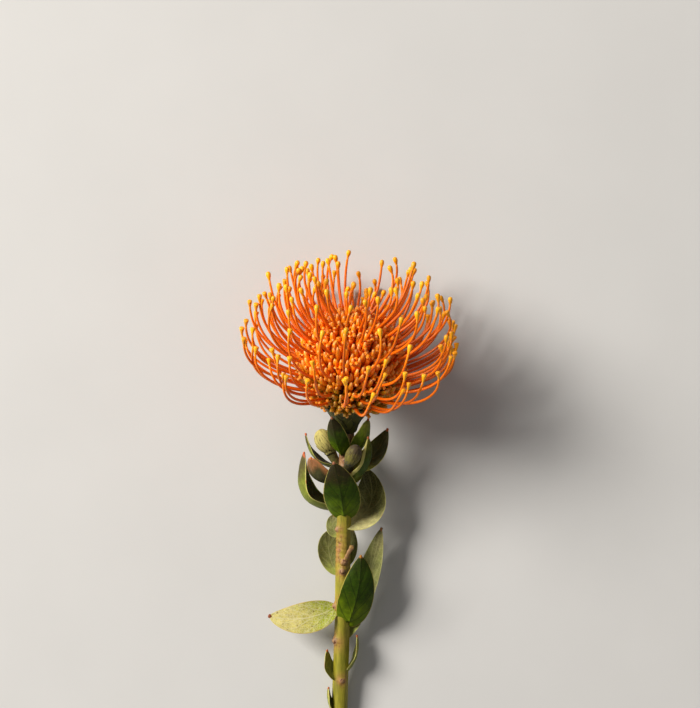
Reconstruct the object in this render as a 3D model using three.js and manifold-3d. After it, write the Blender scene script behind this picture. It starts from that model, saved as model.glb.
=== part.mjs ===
// Pincushion protea: one cut flower, lying on a table.
// Millimetres. +Y runs along the stem towards the flower head, +Z up from the table, +X to the right.
// The origin is on the table under the middle of the whole flower.
import * as THREE from "three";
import { mergeVertices } from "three/addons/utils/BufferGeometryUtils.js";
import { ConvexGeometry } from "three/addons/geometries/ConvexGeometry.js";
import Module from "manifold-3d";

const wasm = await Module();
wasm.setup();

// ---------------------------------------------------------------- driving dimensions

const GOLDEN_ANGLE = Math.PI * (3 - Math.sqrt(5));
const deg = (angle) => (angle * Math.PI) / 180;
const point = (p) => new THREE.Vector3(...p);

// The layout below is measured from a point under the head; this is the middle of the whole flower in it.
const MIDDLE = { x: 1.1, y: -78.6 };
// Separate pieces stand this far apart where they meet.
const GAP = 0.35;

// The ball of florets and its axis, which rises from the table as the head lies on its lower styles and leans a
// little to the right.
const HEAD = { centre: [0.9, -4, 41.8], rise: deg(22), lean: deg(4.5) };

// One floret for each style. The lists go with the first one: the angle from the head's axis at which the
// floret comes out of the ball, from the top florets to those round the base.
const FLORETS = {
  count: 146,
  widest: deg(143), // the lowest florets come out this far from the axis
  stray: 0.09, // how far a floret is off its place in the spiral, in radians
  angle: [0, 25, 45, 65, 85, 105, 125, 148], // degrees from the axis
  root: [4, 3, 2, -1, -6, -10, -14, -17.5], // where its line meets the axis
  lean: [0, 22, 42, 60, 74, 83, 88, 91], // degrees from the axis at which it sets out
  reach: [3, 16, 28, 38, 46, 51, 53.5, 50.5], // the style's end: distance from the axis
  height: [40, 46, 47.5, 42.5, 33.5, 23, 12.5, 4], // and height along it
};
const STYLE = {
  sides: 3,
  steps: 6,
  start: 10, // it begins this far from the axis, inside the ball
  root: 0.85, // radius there
  neck: 0.55, // and under the pollen presenter
  leave: 0.5, // the share of its length that keeps the direction it sets out in
  arrive: 0.35, // and the share that has turned to its last direction
  finish: deg(-7), // its last direction leans in towards the axis
  strays: { reach: 2.2, height: 3, finish: deg(14), round: 0.11 },
};
// The pollen presenter is the knob at a style's end: share of its length from its tip, share of its radius.
const PRESENTER = { radius: 1.25, length: 4.1, outline: [[0.5, 0.92], [0.18, 1], [0, 0.5]] };
// The floret tubes' curled ends as relief on the ball, each just above and beside its style.
const PERIANTH = {
  peak: 27.2,
  valley: 21.2,
  above: deg(4),
  beside: 0.1,
  foot: { sides: 8, angle: deg(158), radius: 24.6 }, // the ball's underside is plain
};
// In the middle some styles aren't out yet, a patch on the head's lower side is behind the rest, and the upper side
// has shed every other style.
const YOUNG = { angle: deg(27), every: 3, keep: 0.86, strays: 0.1 };
const LATE = { angle: deg(100), round: deg(-83), width: deg(17.5), keep: 0.66 };
const SHED = { from: deg(33), to: deg(108), round: deg(92), width: deg(50), every: 2 };

// A style that the table presses on bends and lies along it, with a flat on its underside.
const TABLE = { level: -0.4, softness: 2.5, centreline: 0.31, flat: 0.3 };

// The stem's centreline from the cut end to the head, with its radius there.
const STEM = {
  sides: 12,
  slant: 0.45, // how far the cut leans along the stem for each millimetre up
  path: [
    [-5.9, -208, 4.0, 4.0],
    [-5.4, -196, 4.0, 4.0],
    [-4.7, -177, 5.4, 4.0],
    [-3.6, -143, 9.8, 3.9],
    [-3.3, -123, 13.0, 3.8],
    [-2.9, -95.5, 17.4, 3.7],
    [-2.2, -70, 21.8, 3.6],
    [-1.4, -50, 25.4, 3.7],
    [-1.3, -35.3, 29.2, 4.3],
  ],
  steps: 26,
  sunk: 0.92, // a swelling's middle, as a share of the stem's radius
};
// Leaf scars and swellings: place along +Y, angle round the stem in degrees (0 = right, 90 = up), size.
const KNOTS = [
  { y: -165, round: 80, size: 1.3 },
  { y: -145, round: 150, size: 2.0 },
  { y: -127.5, round: 170, size: 1.9 },
  { y: -109, round: 95, size: 1.7 },
  { y: -104, round: 75, size: 1.5 },
  { y: -88, round: 150, size: 1.6 },
  { y: -57, round: 120, size: 2.2 },
  { y: -56.5, round: 50, size: 2.2 },
  { y: -100, round: 260, size: 1.5 },
  { y: -140, round: 300, size: 1.5 },
];
// A short side shoot that was cut off: share of its length, share of its radius.
const SPUR = {
  from: [-2.2, -104, 19.6],
  to: [1.6, -96.4, 24.6],
  radius: 1.25,
  sides: 6,
  outline: [[-0.25, 1.25], [0.4, 0.8], [0.75, 1], [1, 0.55]],
};

// The cup of small green bracts under the florets: distance from the head's axis and height along it.
const CUP = {
  sides: 24,
  profile: [
    [5.6, -36.4],
    [6.1, -33.6],
    [7.4, -30.0],
    [9.0, -27.2],
    [10.8, -24.4],
    [9.2, -22.4],
  ],
  proud: 0.9, // every other bract stands out this far
};

// Leaves: middle of the base, tip, how far the midrib bows off the straight line, where the upper face looks,
// width, how deep the blade cups for its half width, and how far the base's lobes reach back. Some have a fullness
// or a taper of their own.
const LEAVES = {
  leaf_neck_front: {
    base: [-3.6, -50, 29.6], tip: [-8.6, -31.5, 43], bow: [-0.2, -1.5, 2.2],
    face: [0.35, 0.3, -1], width: 11, cup: 0.45, lobe: 1,
  },
  leaf_neck_right: {
    base: [2.4, -50.8, 26.4], tip: [9.6, -32.5, 35.5], bow: [1.2, -1, 0.4],
    face: [-0.6, 0.3, -0.75], width: 10, cup: 0.4, lobe: 1,
  },
  leaf_bud_right: {
    base: [0.4, -63.4, 27.4], tip: [9.6, -41.5, 34], bow: [4.3, -3, -0.2],
    face: [-0.85, 0.45, -0.35], width: 12, cup: 0.4, lobe: 1,
  },
  leaf_back_right: {
    base: [1.8, -58, 18.2], tip: [19.5, -37.8, 18.6], bow: [2, -3, -3.4],
    face: [-0.35, 0.35, 1], width: 12, cup: 0.25, lobe: 0.5,
  },
  leaf_thin_left: {
    base: [-4.2, -57, 18.2], tip: [-21.8, -40.2, 20.5], bow: [-3.4, -4.2, -1.5],
    face: [0.72, 0.7, 0.15], width: 9, cup: 0.3, lobe: 0.5,
  },
  leaf_left_big: {
    base: [-5.1, -78.6, 16], tip: [-22.6, -49.5, 24.3], bow: [-9.2, -6.9, -3.8],
    face: [0.96, 0.25, 0.27], width: 19, cup: 0.55, lobe: 1.5,
  },
  leaf_inner_left: {
    base: [-4.2, -64, 23.4], tip: [-19, -51.8, 34.2], bow: [-3.2, -4.6, 1],
    face: [0.55, 0.6, -0.6], width: 14, cup: 0.42, lobe: 0.5, taper: 0.5,
  },
  leaf_front_middle: {
    base: [-2.6, -80.5, 23.4], tip: [-7.6, -54, 38], bow: [0.9, -1, 3],
    face: [0.05, 0.35, -1], width: 18.5, cup: 0.2, lobe: 5, fullness: 0.38,
  },
  leaf_right_big: {
    base: [0.6, -85, 18.4], tip: [9, -57.5, 17], bow: [6.2, -4, -5],
    face: [-0.35, 0.15, 1], width: 19.5, cup: 0.4, lobe: 5,
  },
  leaf_small_left: {
    base: [-5.4, -91.5, 18.2], tip: [-7.2, -80.8, 19.6], bow: [-1.6, -0.8, -0.6],
    face: [-0.3, 0.1, 1], width: 7, cup: 0.3, lobe: 0.5, taper: 0.6,
  },
  leaf_left_back: {
    base: [-6.2, -110.5, 14], tip: [-8.6, -89, 13.5], bow: [-2.8, 0, -2.6],
    face: [0.3, 0.1, 1], width: 12.5, cup: 0.2, lobe: 1.5, taper: 0.55,
  },
  leaf_right_thin: {
    base: [-0.4, -106.5, 13.4], tip: [1.9, -88.6, 11], bow: [0.4, 0, -2],
    face: [-0.2, 0.1, 1], width: 7, cup: 0.25, lobe: 0.5,
  },
  leaf_front_right: {
    base: [0.2, -134.5, 14.6], tip: [5.9, -101.2, 27], bow: [1.7, -0.5, 2.6],
    face: [-0.12, 0.3, -1], width: 18, cup: 0.2, lobe: 4.5, fullness: 0.34,
  },
  leaf_long_right: {
    base: [-2.2, -144, 8.4], tip: [16.4, -88, 15], bow: [1.9, 0, -3.4],
    face: [-0.4, 0.1, 1], width: 13, cup: 0.25, lobe: 1,
  },
  leaf_left_flat: {
    base: [-7.6, -128.4, 13], tip: [-40.4, -132.4, 14], bow: [0.5, -3.2, 2.4],
    face: [0.1, 0.25, 1], width: 16, cup: 0.16, lobe: 1.5,
  },
  leaf_edge_right: {
    base: [-1.4, -160.6, 8.2], tip: [4.0, -142.8, 9.5], bow: [2.2, -1.2, 0],
    face: [-1, 0.35, 0.1], width: 8, cup: 0.25, lobe: 0.3,
  },
  leaf_small_low: {
    base: [-7.3, -164.6, 8], tip: [-11.1, -150.2, 9.5], bow: [-1.6, -0.8, 0],
    face: [0.8, 0.1, 0.6], width: 8, cup: 0.3, lobe: 1,
  },
  leaf_edge_low: {
    base: [-7.6, -182, 6.4], tip: [-10.4, -169.4, 8], bow: [-1.1, -0.6, 0],
    face: [1, 0.1, 0.2], width: 7, cup: 0.3, lobe: 0.3,
  },
  leaf_under_neck: {
    base: [1, -65, 19.4], tip: [0, -40, 9.5], bow: [1, -1.5, -5],
    face: [0.1, 0.4, 1], width: 13, cup: 0.3, lobe: 1.5,
  },
};
// A blade's outline and its thickness: the half width grows as t to the fullness and falls as 1 - t to the taper.
const BLADE = {
  along: 8,
  across: 4,
  middle: 0.85, // thickness on the midrib
  margin: 0.62, // and at the margin
  fullness: 0.5,
  taper: 0.8,
  foot: 1.2, // half width at the base
  end: 0.5, // and at the tip
};

// Young flower heads above the upper leaves: foot on the stem, top of the bud, its radius, the egg's share of the
// length, number of scales.
const BUDS = {
  side_bud_left: { foot: [-4.4, -58.2, 22.4], top: [-15, -38.4, 29.2], radius: 4.7, egg: 0.58, scales: 34 },
  side_bud_right: { foot: [-2, -59.8, 28], top: [4, -46, 40], radius: 3.6, egg: 0.66, scales: 34 },
};
const BUD = {
  cut: 0.5, // how deep the scales are cut
  sides: 8,
  stalk: [[-0.08, 1.9], [0.12, 2.3], [0.34, 3.5], [0.5, 3.1]], // share of the length, radius
};

const MATERIALS = {
  stem: { color: 0x9aa04a, roughness: 0.62 },
  leaf: { color: 0x6f8a3c, roughness: 0.5 },
  bract: { color: 0x8f9650, roughness: 0.7 },
  bud: { color: 0xb9bb72, roughness: 0.72 },
  floret: { color: 0xe8641c, roughness: 0.42 },
};

// ---------------------------------------------------------------- helpers

// The value at x on the straight lines through the listed points.
function follow(x, xs, ys) {
  let k = 1;
  while (k < xs.length - 1 && x > xs[k]) k++;
  return THREE.MathUtils.mapLinear(x, xs[k - 1], xs[k], ys[k - 1], ys[k]);
}

// A number from -1 to 1 for item i, the same each run: seed picks an independent series.
function jitter(i, seed) {
  const v = Math.sin(i * 12.9898 + seed * 78.233) * 43758.5453;
  return 2 * (v - Math.floor(v)) - 1;
}

// A closed solid from a geometry, turned the right way out.
function solid(geometry) {
  const bare = geometry.clone();
  bare.deleteAttribute("normal");
  bare.deleteAttribute("uv");
  const merged = mergeVertices(bare, 1e-4);
  const vertProperties = merged.attributes.position.array;
  const build = (triVerts) => new wasm.Manifold(new wasm.Mesh({ numProp: 3, vertProperties, triVerts }));
  const triangles = new Uint32Array(merged.index.array);
  const made = build(triangles);
  return made.volume() > 0 ? made : build(triangles.slice().reverse());
}

// Skins rings of points, each as long as the others, and caps the two ends.
function loft(rings) {
  const n = rings[0].length;
  const corners = rings.flat();
  const index = [];
  for (let r = 0; r + 1 < rings.length; r++) {
    for (let k = 0; k < n; k++) {
      const a = r * n + k;
      const b = r * n + ((k + 1) % n);
      index.push(a, b, b + n, a, b + n, a + n);
    }
  }
  const last = (rings.length - 1) * n;
  for (let k = 1; k + 1 < n; k++) {
    index.push(0, k + 1, k, last, last + k, last + k + 1);
  }
  return solid(new THREE.BufferGeometry().setFromPoints(corners).setIndex(index));
}

// A ring of points round centre, in the plane of the two directions.
function ring(centre, across, up, radius, sides, turn = 0) {
  return Array.from({ length: sides }, (_, k) => {
    const a = turn + (2 * Math.PI * k) / sides;
    return centre
      .clone()
      .addScaledVector(across, radius * Math.cos(a))
      .addScaledVector(up, radius * Math.sin(a));
  });
}

// The largest separate body of a solid, where a cut has left scraps.
function largest(made) {
  return made.decompose().reduce((a, b) => (a.volume() > b.volume() ? a : b));
}

function mesh(name, made, look) {
  const { numProp, numVert, vertProperties, triVerts } = made.getMesh();
  const positions = new Float32Array(numVert * 3);
  for (let i = 0; i < numVert; i++) {
    positions.set(vertProperties.subarray(i * numProp, i * numProp + 3), i * 3);
  }
  const geometry = new THREE.BufferGeometry()
    .setAttribute("position", new THREE.BufferAttribute(positions, 3))
    .setIndex(new THREE.BufferAttribute(new Uint32Array(triVerts), 1));
  geometry.computeVertexNormals();
  const material = new THREE.MeshStandardMaterial({ ...look, metalness: 0, flatShading: true });
  const part = new THREE.Mesh(geometry, material);
  part.name = name;
  return part;
}

// ---------------------------------------------------------------- the head's own frame

const headCentre = point(HEAD.centre);
const toRight = new THREE.Vector3(1, 0, 0);
const headAxis = new THREE.Vector3(Math.tan(HEAD.lean), Math.cos(HEAD.rise), Math.sin(HEAD.rise)).normalize();
const headRight = toRight.clone().addScaledVector(headAxis, -toRight.dot(headAxis)).normalize();
const headFront = headRight.clone().cross(headAxis);

// The direction away from the head's axis at an angle round it: 0 = right, 90 degrees = the upper side.
function outward(round) {
  return headRight.clone().multiplyScalar(Math.cos(round)).addScaledVector(headFront, Math.sin(round));
}

function inHead(distance, height, round) {
  return headCentre.clone().addScaledVector(headAxis, height).addScaledVector(outward(round), distance);
}

// Where floret i stands on the ball: even all over, in the spiral in which florets grow.
function floretPlace(i) {
  const turn = 1 - ((i + 0.5) / FLORETS.count) * (1 - Math.cos(FLORETS.widest));
  return { angle: Math.acos(turn), round: i * GOLDEN_ANGLE + FLORETS.stray * jitter(i, 1) };
}

// ---------------------------------------------------------------- styles and the ball of florets

// Lifts a point of a centreline that would be under the table, more gently the further up it is.
function onTable(p) {
  const edge = TABLE.level + TABLE.softness;
  if (p.z < edge) p.z = TABLE.level + TABLE.softness * Math.exp((p.z - edge) / TABLE.softness);
  p.z = Math.max(p.z, TABLE.centreline);
  return p;
}

// The centreline of floret i's style, from inside the ball to its end.
function styleCurve(i) {
  const { angle, round } = floretPlace(i);
  const at = THREE.MathUtils.radToDeg(angle);
  const read = (list) => follow(at, FLORETS.angle, list);
  const late = angle < LATE.angle && Math.cos(round - LATE.round) > Math.cos(LATE.width);
  const young = late || angle < YOUNG.angle;
  const grown = young ? (late ? LATE.keep : YOUNG.keep) + YOUNG.strays * jitter(i, 6) : 1;
  const lean = deg(read(FLORETS.lean));
  const finish = STYLE.finish + STYLE.strays.finish * jitter(i, 4);
  const aside = STYLE.strays.round * jitter(i, 5);
  const start = [STYLE.start * Math.sin(lean), read(FLORETS.root) + STYLE.start * Math.cos(lean)];
  const end = [
    read(FLORETS.reach) + STYLE.strays.reach * jitter(i, 2),
    (read(FLORETS.height) + STYLE.strays.height * jitter(i, 3)) * grown,
  ];
  const length = Math.hypot(end[0] - start[0], end[1] - start[1]);
  const leave = STYLE.leave * length;
  const arrive = STYLE.arrive * length;
  return new THREE.CubicBezierCurve3(
    inHead(start[0], start[1], round),
    inHead(start[0] + leave * Math.sin(lean), start[1] + leave * Math.cos(lean), round + aside / 3),
    inHead(end[0] - arrive * Math.sin(finish), end[1] - arrive * Math.cos(finish), round + aside),
    inHead(end[0], end[1], round + aside),
  );
}

// One style with its pollen presenter, three-sided, its flat side outwards.
function style(i) {
  const curve = styleCurve(i);
  const { round } = floretPlace(i);
  const sideways = outward(round + Math.PI / 2);
  const knob = PRESENTER.length / curve.getLength();
  const stations = [];
  for (let k = 0; k <= STYLE.steps; k++) {
    const thinned = Math.min(1, (2 * k) / STYLE.steps);
    stations.push([((1 - knob) * k) / STYLE.steps, THREE.MathUtils.lerp(STYLE.root, STYLE.neck, thinned)]);
  }
  for (const [fromTip, size] of PRESENTER.outline) stations.push([1 - fromTip * knob, PRESENTER.radius * size]);
  const rings = stations.map(([t, radius]) => {
    const up = curve.getTangentAt(t).cross(sideways).normalize();
    const made = ring(onTable(curve.getPointAt(t)), sideways, up, radius, STYLE.sides, -Math.PI / 2);
    for (const p of made) p.z = p.z < TABLE.flat ? 0 : p.z;
    return made;
  });
  return loft(rings);
}

// Directions in the head's frame as unit vectors of x = right, y = front, z = along the axis.
function unit(angle, round) {
  const away = new THREE.Vector3(Math.cos(round), Math.sin(round), 0);
  return away.multiplyScalar(Math.sin(angle)).setZ(Math.cos(angle));
}

// The faces that join directions all over a sphere, as a list of triples.
function netOver(directions) {
  const flat = new ConvexGeometry(directions).attributes.position;
  const faces = [];
  for (let i = 0; i < flat.count; i += 3) {
    faces.push([0, 1, 2].map((k) => new THREE.Vector3().fromBufferAttribute(flat, i + k)));
  }
  return faces;
}

// A ball whose surface rises to a peak in each listed direction and falls to a valley between them.
function relief(peaks, valley, shape) {
  const between = netOver(peaks).map((f) => f[0].clone().add(f[1]).add(f[2]).normalize());
  const corners = [];
  for (const face of netOver([...peaks, ...between])) {
    for (const corner of face) {
      const isPeak = peaks.some((p) => p.distanceToSquared(corner) < 1e-8);
      corners.push(shape(corner, isPeak ? 1 : valley));
    }
  }
  return solid(new THREE.BufferGeometry().setFromPoints(corners));
}

// The florets' tubes packed into a ball, their curled ends standing out of it.
function floretBall() {
  const { peak, valley, above, beside, foot } = PERIANTH;
  const peaks = [unit(Math.PI, 0)];
  for (let i = 0; i < FLORETS.count; i++) {
    const { angle, round } = floretPlace(i);
    peaks.push(unit(Math.abs(angle - above), round + beside));
  }
  for (let k = 0; k < foot.sides; k++) peaks.push(unit(foot.angle, (2 * Math.PI * k) / foot.sides));
  return relief(peaks, valley / peak, (d, size) => {
    const inFoot = d.z < Math.cos(foot.angle) + 0.02;
    const r = inFoot ? foot.radius : peak * size;
    return headCentre
      .clone()
      .addScaledVector(headRight, d.x * r)
      .addScaledVector(headFront, d.y * r)
      .addScaledVector(headAxis, d.z * r);
  });
}

function hasStyle(i) {
  const { angle, round } = floretPlace(i);
  if (angle <= YOUNG.angle) return i % YOUNG.every !== 0;
  const shed = angle > SHED.from && angle < SHED.to && Math.cos(round - SHED.round) > Math.cos(SHED.width);
  return !shed || i % SHED.every === 0;
}

function flowerHead() {
  const parts = [floretBall()];
  for (let i = 0; i < FLORETS.count; i++) {
    if (hasStyle(i)) parts.push(style(i));
  }
  return largest(wasm.Manifold.union(parts));
}

// ---------------------------------------------------------------- bracts under the head

// The cup, hollowed for the ball of florets and bored for the stem.
function bractCup(ball, stemRoom) {
  const last = CUP.profile.length - 1;
  const rings = CUP.profile.map(([distance, height], row) =>
    Array.from({ length: CUP.sides }, (_, k) => {
      const stands = row > 0 && row < last && (k + row) % 2 === 1;
      return inHead(distance + (stands ? CUP.proud : 0), height, (2 * Math.PI * k) / CUP.sides);
    }),
  );
  const grow = 1 + GAP / PERIANTH.foot.radius;
  const ballRoom = ball
    .translate(headCentre.clone().negate().toArray())
    .scale(grow)
    .translate(headCentre.toArray());
  return largest(loft(rings).subtract(ballRoom).subtract(stemRoom));
}

// ---------------------------------------------------------------- stem

const stemCurve = new THREE.CatmullRomCurve3(STEM.path.map(([x, y, z]) => new THREE.Vector3(x, y, z)));

// The stem's centre, direction and radius where it passes a height along +Y.
function stemAt(y) {
  let low = 0;
  let high = 1;
  for (let k = 0; k < 40; k++) {
    const mid = (low + high) / 2;
    if (stemCurve.getPoint(mid).y < y) low = mid;
    else high = mid;
  }
  const t = (low + high) / 2;
  const radius = follow(y, STEM.path.map((p) => p[1]), STEM.path.map((p) => p[3]));
  return { centre: stemCurve.getPoint(t), along: stemCurve.getTangent(t), radius };
}

// The stem made larger all round by grow: a piece that meets it is cut back by a larger one.
function stemSolid(grow) {
  const cut = STEM.path[0][1];
  const top = STEM.path[STEM.path.length - 1][1];
  const flat = 1 / Math.cos(Math.PI / STEM.sides);
  const rings = [];
  for (let k = 0; k <= STEM.steps; k++) {
    const at = stemAt(THREE.MathUtils.lerp(cut, top, k / STEM.steps));
    const up = toRight.clone().cross(at.along).normalize();
    const radius = (at.radius + grow) * flat;
    const made = ring(at.centre, toRight, up, radius, STEM.sides, Math.PI / STEM.sides);
    if (k === 0) for (const p of made) p.y += STEM.slant * (p.z - at.radius);
    for (const p of made) p.z = Math.max(p.z, 0);
    rings.push(made);
  }
  const parts = [loft(rings)];
  for (const knot of KNOTS) {
    const at = stemAt(knot.y);
    const up = toRight.clone().cross(at.along).normalize();
    const out = toRight
      .clone()
      .multiplyScalar(Math.cos(deg(knot.round)))
      .addScaledVector(up, Math.sin(deg(knot.round)));
    const lump = new THREE.SphereGeometry(knot.size + grow, 8, 6);
    lump.translate(...at.centre.clone().addScaledVector(out, at.radius * STEM.sunk).toArray());
    parts.push(solid(lump));
  }
  const from = point(SPUR.from);
  const to = point(SPUR.to);
  const along = to.clone().sub(from).normalize();
  const up = toRight.clone().cross(along).normalize();
  const side = along.clone().cross(up);
  const rounds = SPUR.outline.map(([t, size]) => {
    return ring(from.clone().lerp(to, t), side, up, SPUR.radius * size + grow, SPUR.sides);
  });
  return wasm.Manifold.union([...parts, loft(rounds)]);
}

// ---------------------------------------------------------------- leaves

// One blade: two faces split alike and a rim, following the midrib and cupped across it.
function blade({ base, tip, bow, face, width, cup, lobe, fullness = BLADE.fullness, taper = BLADE.taper }) {
  const from = point(base);
  const to = point(tip);
  const middle = from.clone().lerp(to, 0.5).addScaledVector(point(bow), 2);
  const midrib = new THREE.QuadraticBezierCurve3(from, middle, to);
  const crest = fullness / (fullness + taper);
  const shape = (t) => t ** fullness * (1 - t) ** taper;
  const upper = [];
  const lower = [];
  for (let r = 0; r <= BLADE.along; r++) {
    const t = r / BLADE.along;
    const centre = midrib.getPoint(t);
    const along = midrib.getTangent(t);
    const normal = point(face).addScaledVector(along, -point(face).dot(along)).normalize();
    const side = along.clone().cross(normal);
    const least = t < 0.5 ? BLADE.foot : BLADE.end;
    const half = Math.max(least, (width / 2) * (shape(t) / shape(crest)));
    for (let c = 0; c <= BLADE.across; c++) {
      const u = (2 * c) / BLADE.across - 1;
      const p = centre
        .clone()
        .addScaledVector(side, u * half)
        .addScaledVector(normal, cup * half * u * u)
        .addScaledVector(along, -lobe * u * u * (1 - t) ** 5);
      const thick = THREE.MathUtils.lerp(BLADE.middle, BLADE.margin, Math.abs(u)) / 2;
      upper.push(p.clone().addScaledVector(normal, thick));
      lower.push(p.clone().addScaledVector(normal, -thick));
    }
  }
  const row = BLADE.across + 1;
  const count = upper.length;
  const index = [];
  for (let r = 0; r < BLADE.along; r++) {
    for (let c = 0; c < BLADE.across; c++) {
      const a = r * row + c;
      const [b, d, e] = [a + 1, a + row + 1, a + row];
      index.push(a, b, d, a, d, e, count + a, count + d, count + b, count + a, count + e, count + d);
    }
  }
  const rim = [];
  for (let c = 0; c < BLADE.across; c++) rim.push(c);
  for (let r = 0; r < BLADE.along; r++) rim.push(r * row + BLADE.across);
  for (let c = BLADE.across; c > 0; c--) rim.push(BLADE.along * row + c);
  for (let r = BLADE.along; r > 0; r--) rim.push(r * row);
  rim.forEach((a, k) => {
    const b = rim[(k + 1) % rim.length];
    index.push(b, a, count + a, b, count + a, count + b);
  });
  return solid(new THREE.BufferGeometry().setFromPoints([...upper, ...lower]).setIndex(index));
}

// ---------------------------------------------------------------- buds

// A young head: a stalk and an egg of overlapping scales in spiral rows.
function bud({ foot, top, radius, egg: share, scales }) {
  const from = point(foot);
  const along = point(top).sub(from);
  const length = along.length();
  along.normalize();
  const side = along.clone().cross(new THREE.Vector3(0, 0, 1)).normalize();
  const up = side.clone().cross(along);
  const half = (length * share) / 2;
  const middle = from.clone().addScaledVector(along, length - half);
  const tips = Array.from({ length: scales }, (_, i) => {
    return unit(Math.acos(1 - (2 * (i + 0.5)) / scales), i * GOLDEN_ANGLE);
  });
  const egg = relief(tips, 1 - BUD.cut / radius, (d, size) =>
    middle
      .clone()
      .addScaledVector(side, d.x * radius * size)
      .addScaledVector(up, d.y * radius * size)
      .addScaledVector(along, d.z * half * size),
  );
  const rounds = BUD.stalk.map(([t, wide]) => {
    return ring(from.clone().addScaledVector(along, t * length), side, up, wide, BUD.sides);
  });
  return wasm.Manifold.union([loft(rounds), egg]);
}

// ---------------------------------------------------------------- the flower

const flower = new THREE.Group();
flower.name = "pincushion_protea";
flower.position.set(-MIDDLE.x, -MIDDLE.y, 0);

// What meets the stem is cut back to leave the gap.
const stemRoom = stemSolid(GAP);

flower.add(mesh("stem", stemSolid(0), MATERIALS.stem));
flower.add(mesh("flower_head", flowerHead(), MATERIALS.floret));
flower.add(mesh("bract_cup", bractCup(floretBall(), stemRoom), MATERIALS.bract));
for (const [name, sizes] of Object.entries(LEAVES)) {
  flower.add(mesh(name, largest(blade(sizes).subtract(stemRoom)), MATERIALS.leaf));
}
for (const [name, sizes] of Object.entries(BUDS)) {
  flower.add(mesh(name, largest(bud(sizes).subtract(stemRoom)), MATERIALS.bud));
}

export default flower;
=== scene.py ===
"""Looks of a cut pincushion protea that lies on a pale table.

All sizes are millimetres in the flower's own layout, in which the middle of the head stands near x = y = 0
and +Y runs up the stem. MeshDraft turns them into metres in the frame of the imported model.
"""

import logging
import math
from dataclasses import dataclass
from enum import Enum, IntEnum

import bpy
import mathutils
import numpy as np
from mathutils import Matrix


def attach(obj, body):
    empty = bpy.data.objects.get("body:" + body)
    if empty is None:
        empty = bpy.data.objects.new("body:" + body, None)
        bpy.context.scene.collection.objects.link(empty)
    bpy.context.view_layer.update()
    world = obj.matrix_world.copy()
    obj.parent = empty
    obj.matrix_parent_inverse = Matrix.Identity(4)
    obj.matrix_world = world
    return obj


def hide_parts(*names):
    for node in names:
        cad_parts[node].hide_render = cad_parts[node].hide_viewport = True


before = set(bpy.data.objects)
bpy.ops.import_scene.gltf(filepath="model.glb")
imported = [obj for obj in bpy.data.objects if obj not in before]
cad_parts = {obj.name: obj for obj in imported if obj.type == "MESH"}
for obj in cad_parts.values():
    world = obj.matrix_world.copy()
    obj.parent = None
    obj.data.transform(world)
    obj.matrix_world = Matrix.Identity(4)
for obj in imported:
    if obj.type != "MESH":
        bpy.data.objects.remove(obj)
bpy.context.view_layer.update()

LOG = logging.getLogger("pincushion")
MM = 0.001
MIDDLE = np.array([1.1, -78.6, 0.0])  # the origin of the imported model, in the flower's layout
GOLDEN_ANGLE = math.pi * (3 - math.sqrt(5))
TO_RIGHT = np.array([1.0, 0.0, 0.0])
UPWARD = np.array([0.0, 0.0, 1.0])
BODY = "root"
NERVES_ALONG = 25.0  # the side veins of a leaf, as a sine's angle: by the share of the length,
NERVES_OUT = 11.5  # and by the share of the width,
NERVE_BOW = 0.85  # to this power, which bends them to the tip

Array = np.ndarray
Socket = bpy.types.NodeSocket
Colour = tuple[float, float, float]
Point = tuple[float, float, float]
Row = tuple[float, ...]
Outline = tuple[tuple[float, float], ...]


class Stray(IntEnum):
    """What differs from floret to floret and from leaf to leaf, with the number of its series of jitter."""

    FLORET_TURN = 1
    STYLE_REACH = 2
    STYLE_HEIGHT = 3
    STYLE_END = 4
    STYLE_ASIDE = 5
    STYLE_GROWTH = 6
    KNOB_SIZE = 7
    STYLE_SHADE = 8
    TUBE_REACH = 9
    TUBE_SHADE = 10
    LIMB_LEAN = 11
    LIMB_LENGTH = 12
    LIMB_CURL = 13
    LIMB_SWEEP = 14
    LIMB_TURN = 15
    LIMB_SHADE = 16
    NOD_ASIDE = 17
    NOD_OUT = 18
    TUBE_TILT = 19
    TUBE_SWAY = 20
    KNOB_CUP = 21
    RIPPLE_COUNT = 31
    RIPPLE_START = 32


# ---------------------------------------------------------------- numbers and lines


def jitter(item: int, series: int) -> float:
    """A number from -1 to 1 for an item, the same in each run. Each series has numbers of its own."""
    value = math.sin(item * 12.9898 + series * 78.233) * 43758.5453
    return 2 * (value - math.floor(value)) - 1


def unit(vector: Array) -> Array:
    """The vector, or each row of vectors, made one long."""
    return vector / np.linalg.norm(vector, axis=-1, keepdims=True)


def bezier(controls: list[Array], count: int) -> Array:
    """Points along a Bezier curve of three or four control points.

    Args:
        controls: The control points.
        count: How many points to return.

    Returns:
        The points, evenly spaced along the curve's length, as rows.
    """
    t = np.linspace(0, 1, 4 * count)[:, None]
    n = len(controls) - 1
    line = sum(math.comb(n, k) * (1 - t) ** (n - k) * t**k * p for k, p in enumerate(controls))
    return even(line, count)


def points_at(at: Array, run: Array, line: Array) -> Array:
    """The points at some lengths along a line. run holds the length at each of the line's own points."""
    return np.stack([np.interp(at, run, line[:, k]) for k in range(3)], axis=1)


def even(line: Array, count: int) -> Array:
    """The line with count points at even distances along it."""
    run = np.concatenate([[0], np.cumsum(np.linalg.norm(np.diff(line, axis=0), axis=1))])
    return points_at(np.linspace(0, run[-1], count), run, line)


def length_of(line: Array) -> float:
    """The length of a line of points."""
    return float(np.linalg.norm(np.diff(line, axis=0), axis=1).sum())


def circle(count: int) -> Array:
    """Evenly spaced angles, once round."""
    return np.arange(count) * 2 * math.pi / count


def hill(x: Array, power: int = 2) -> Array:
    """1 where x is 0, falling to 0 on both sides of it."""
    return np.exp(-(x**power))


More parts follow.
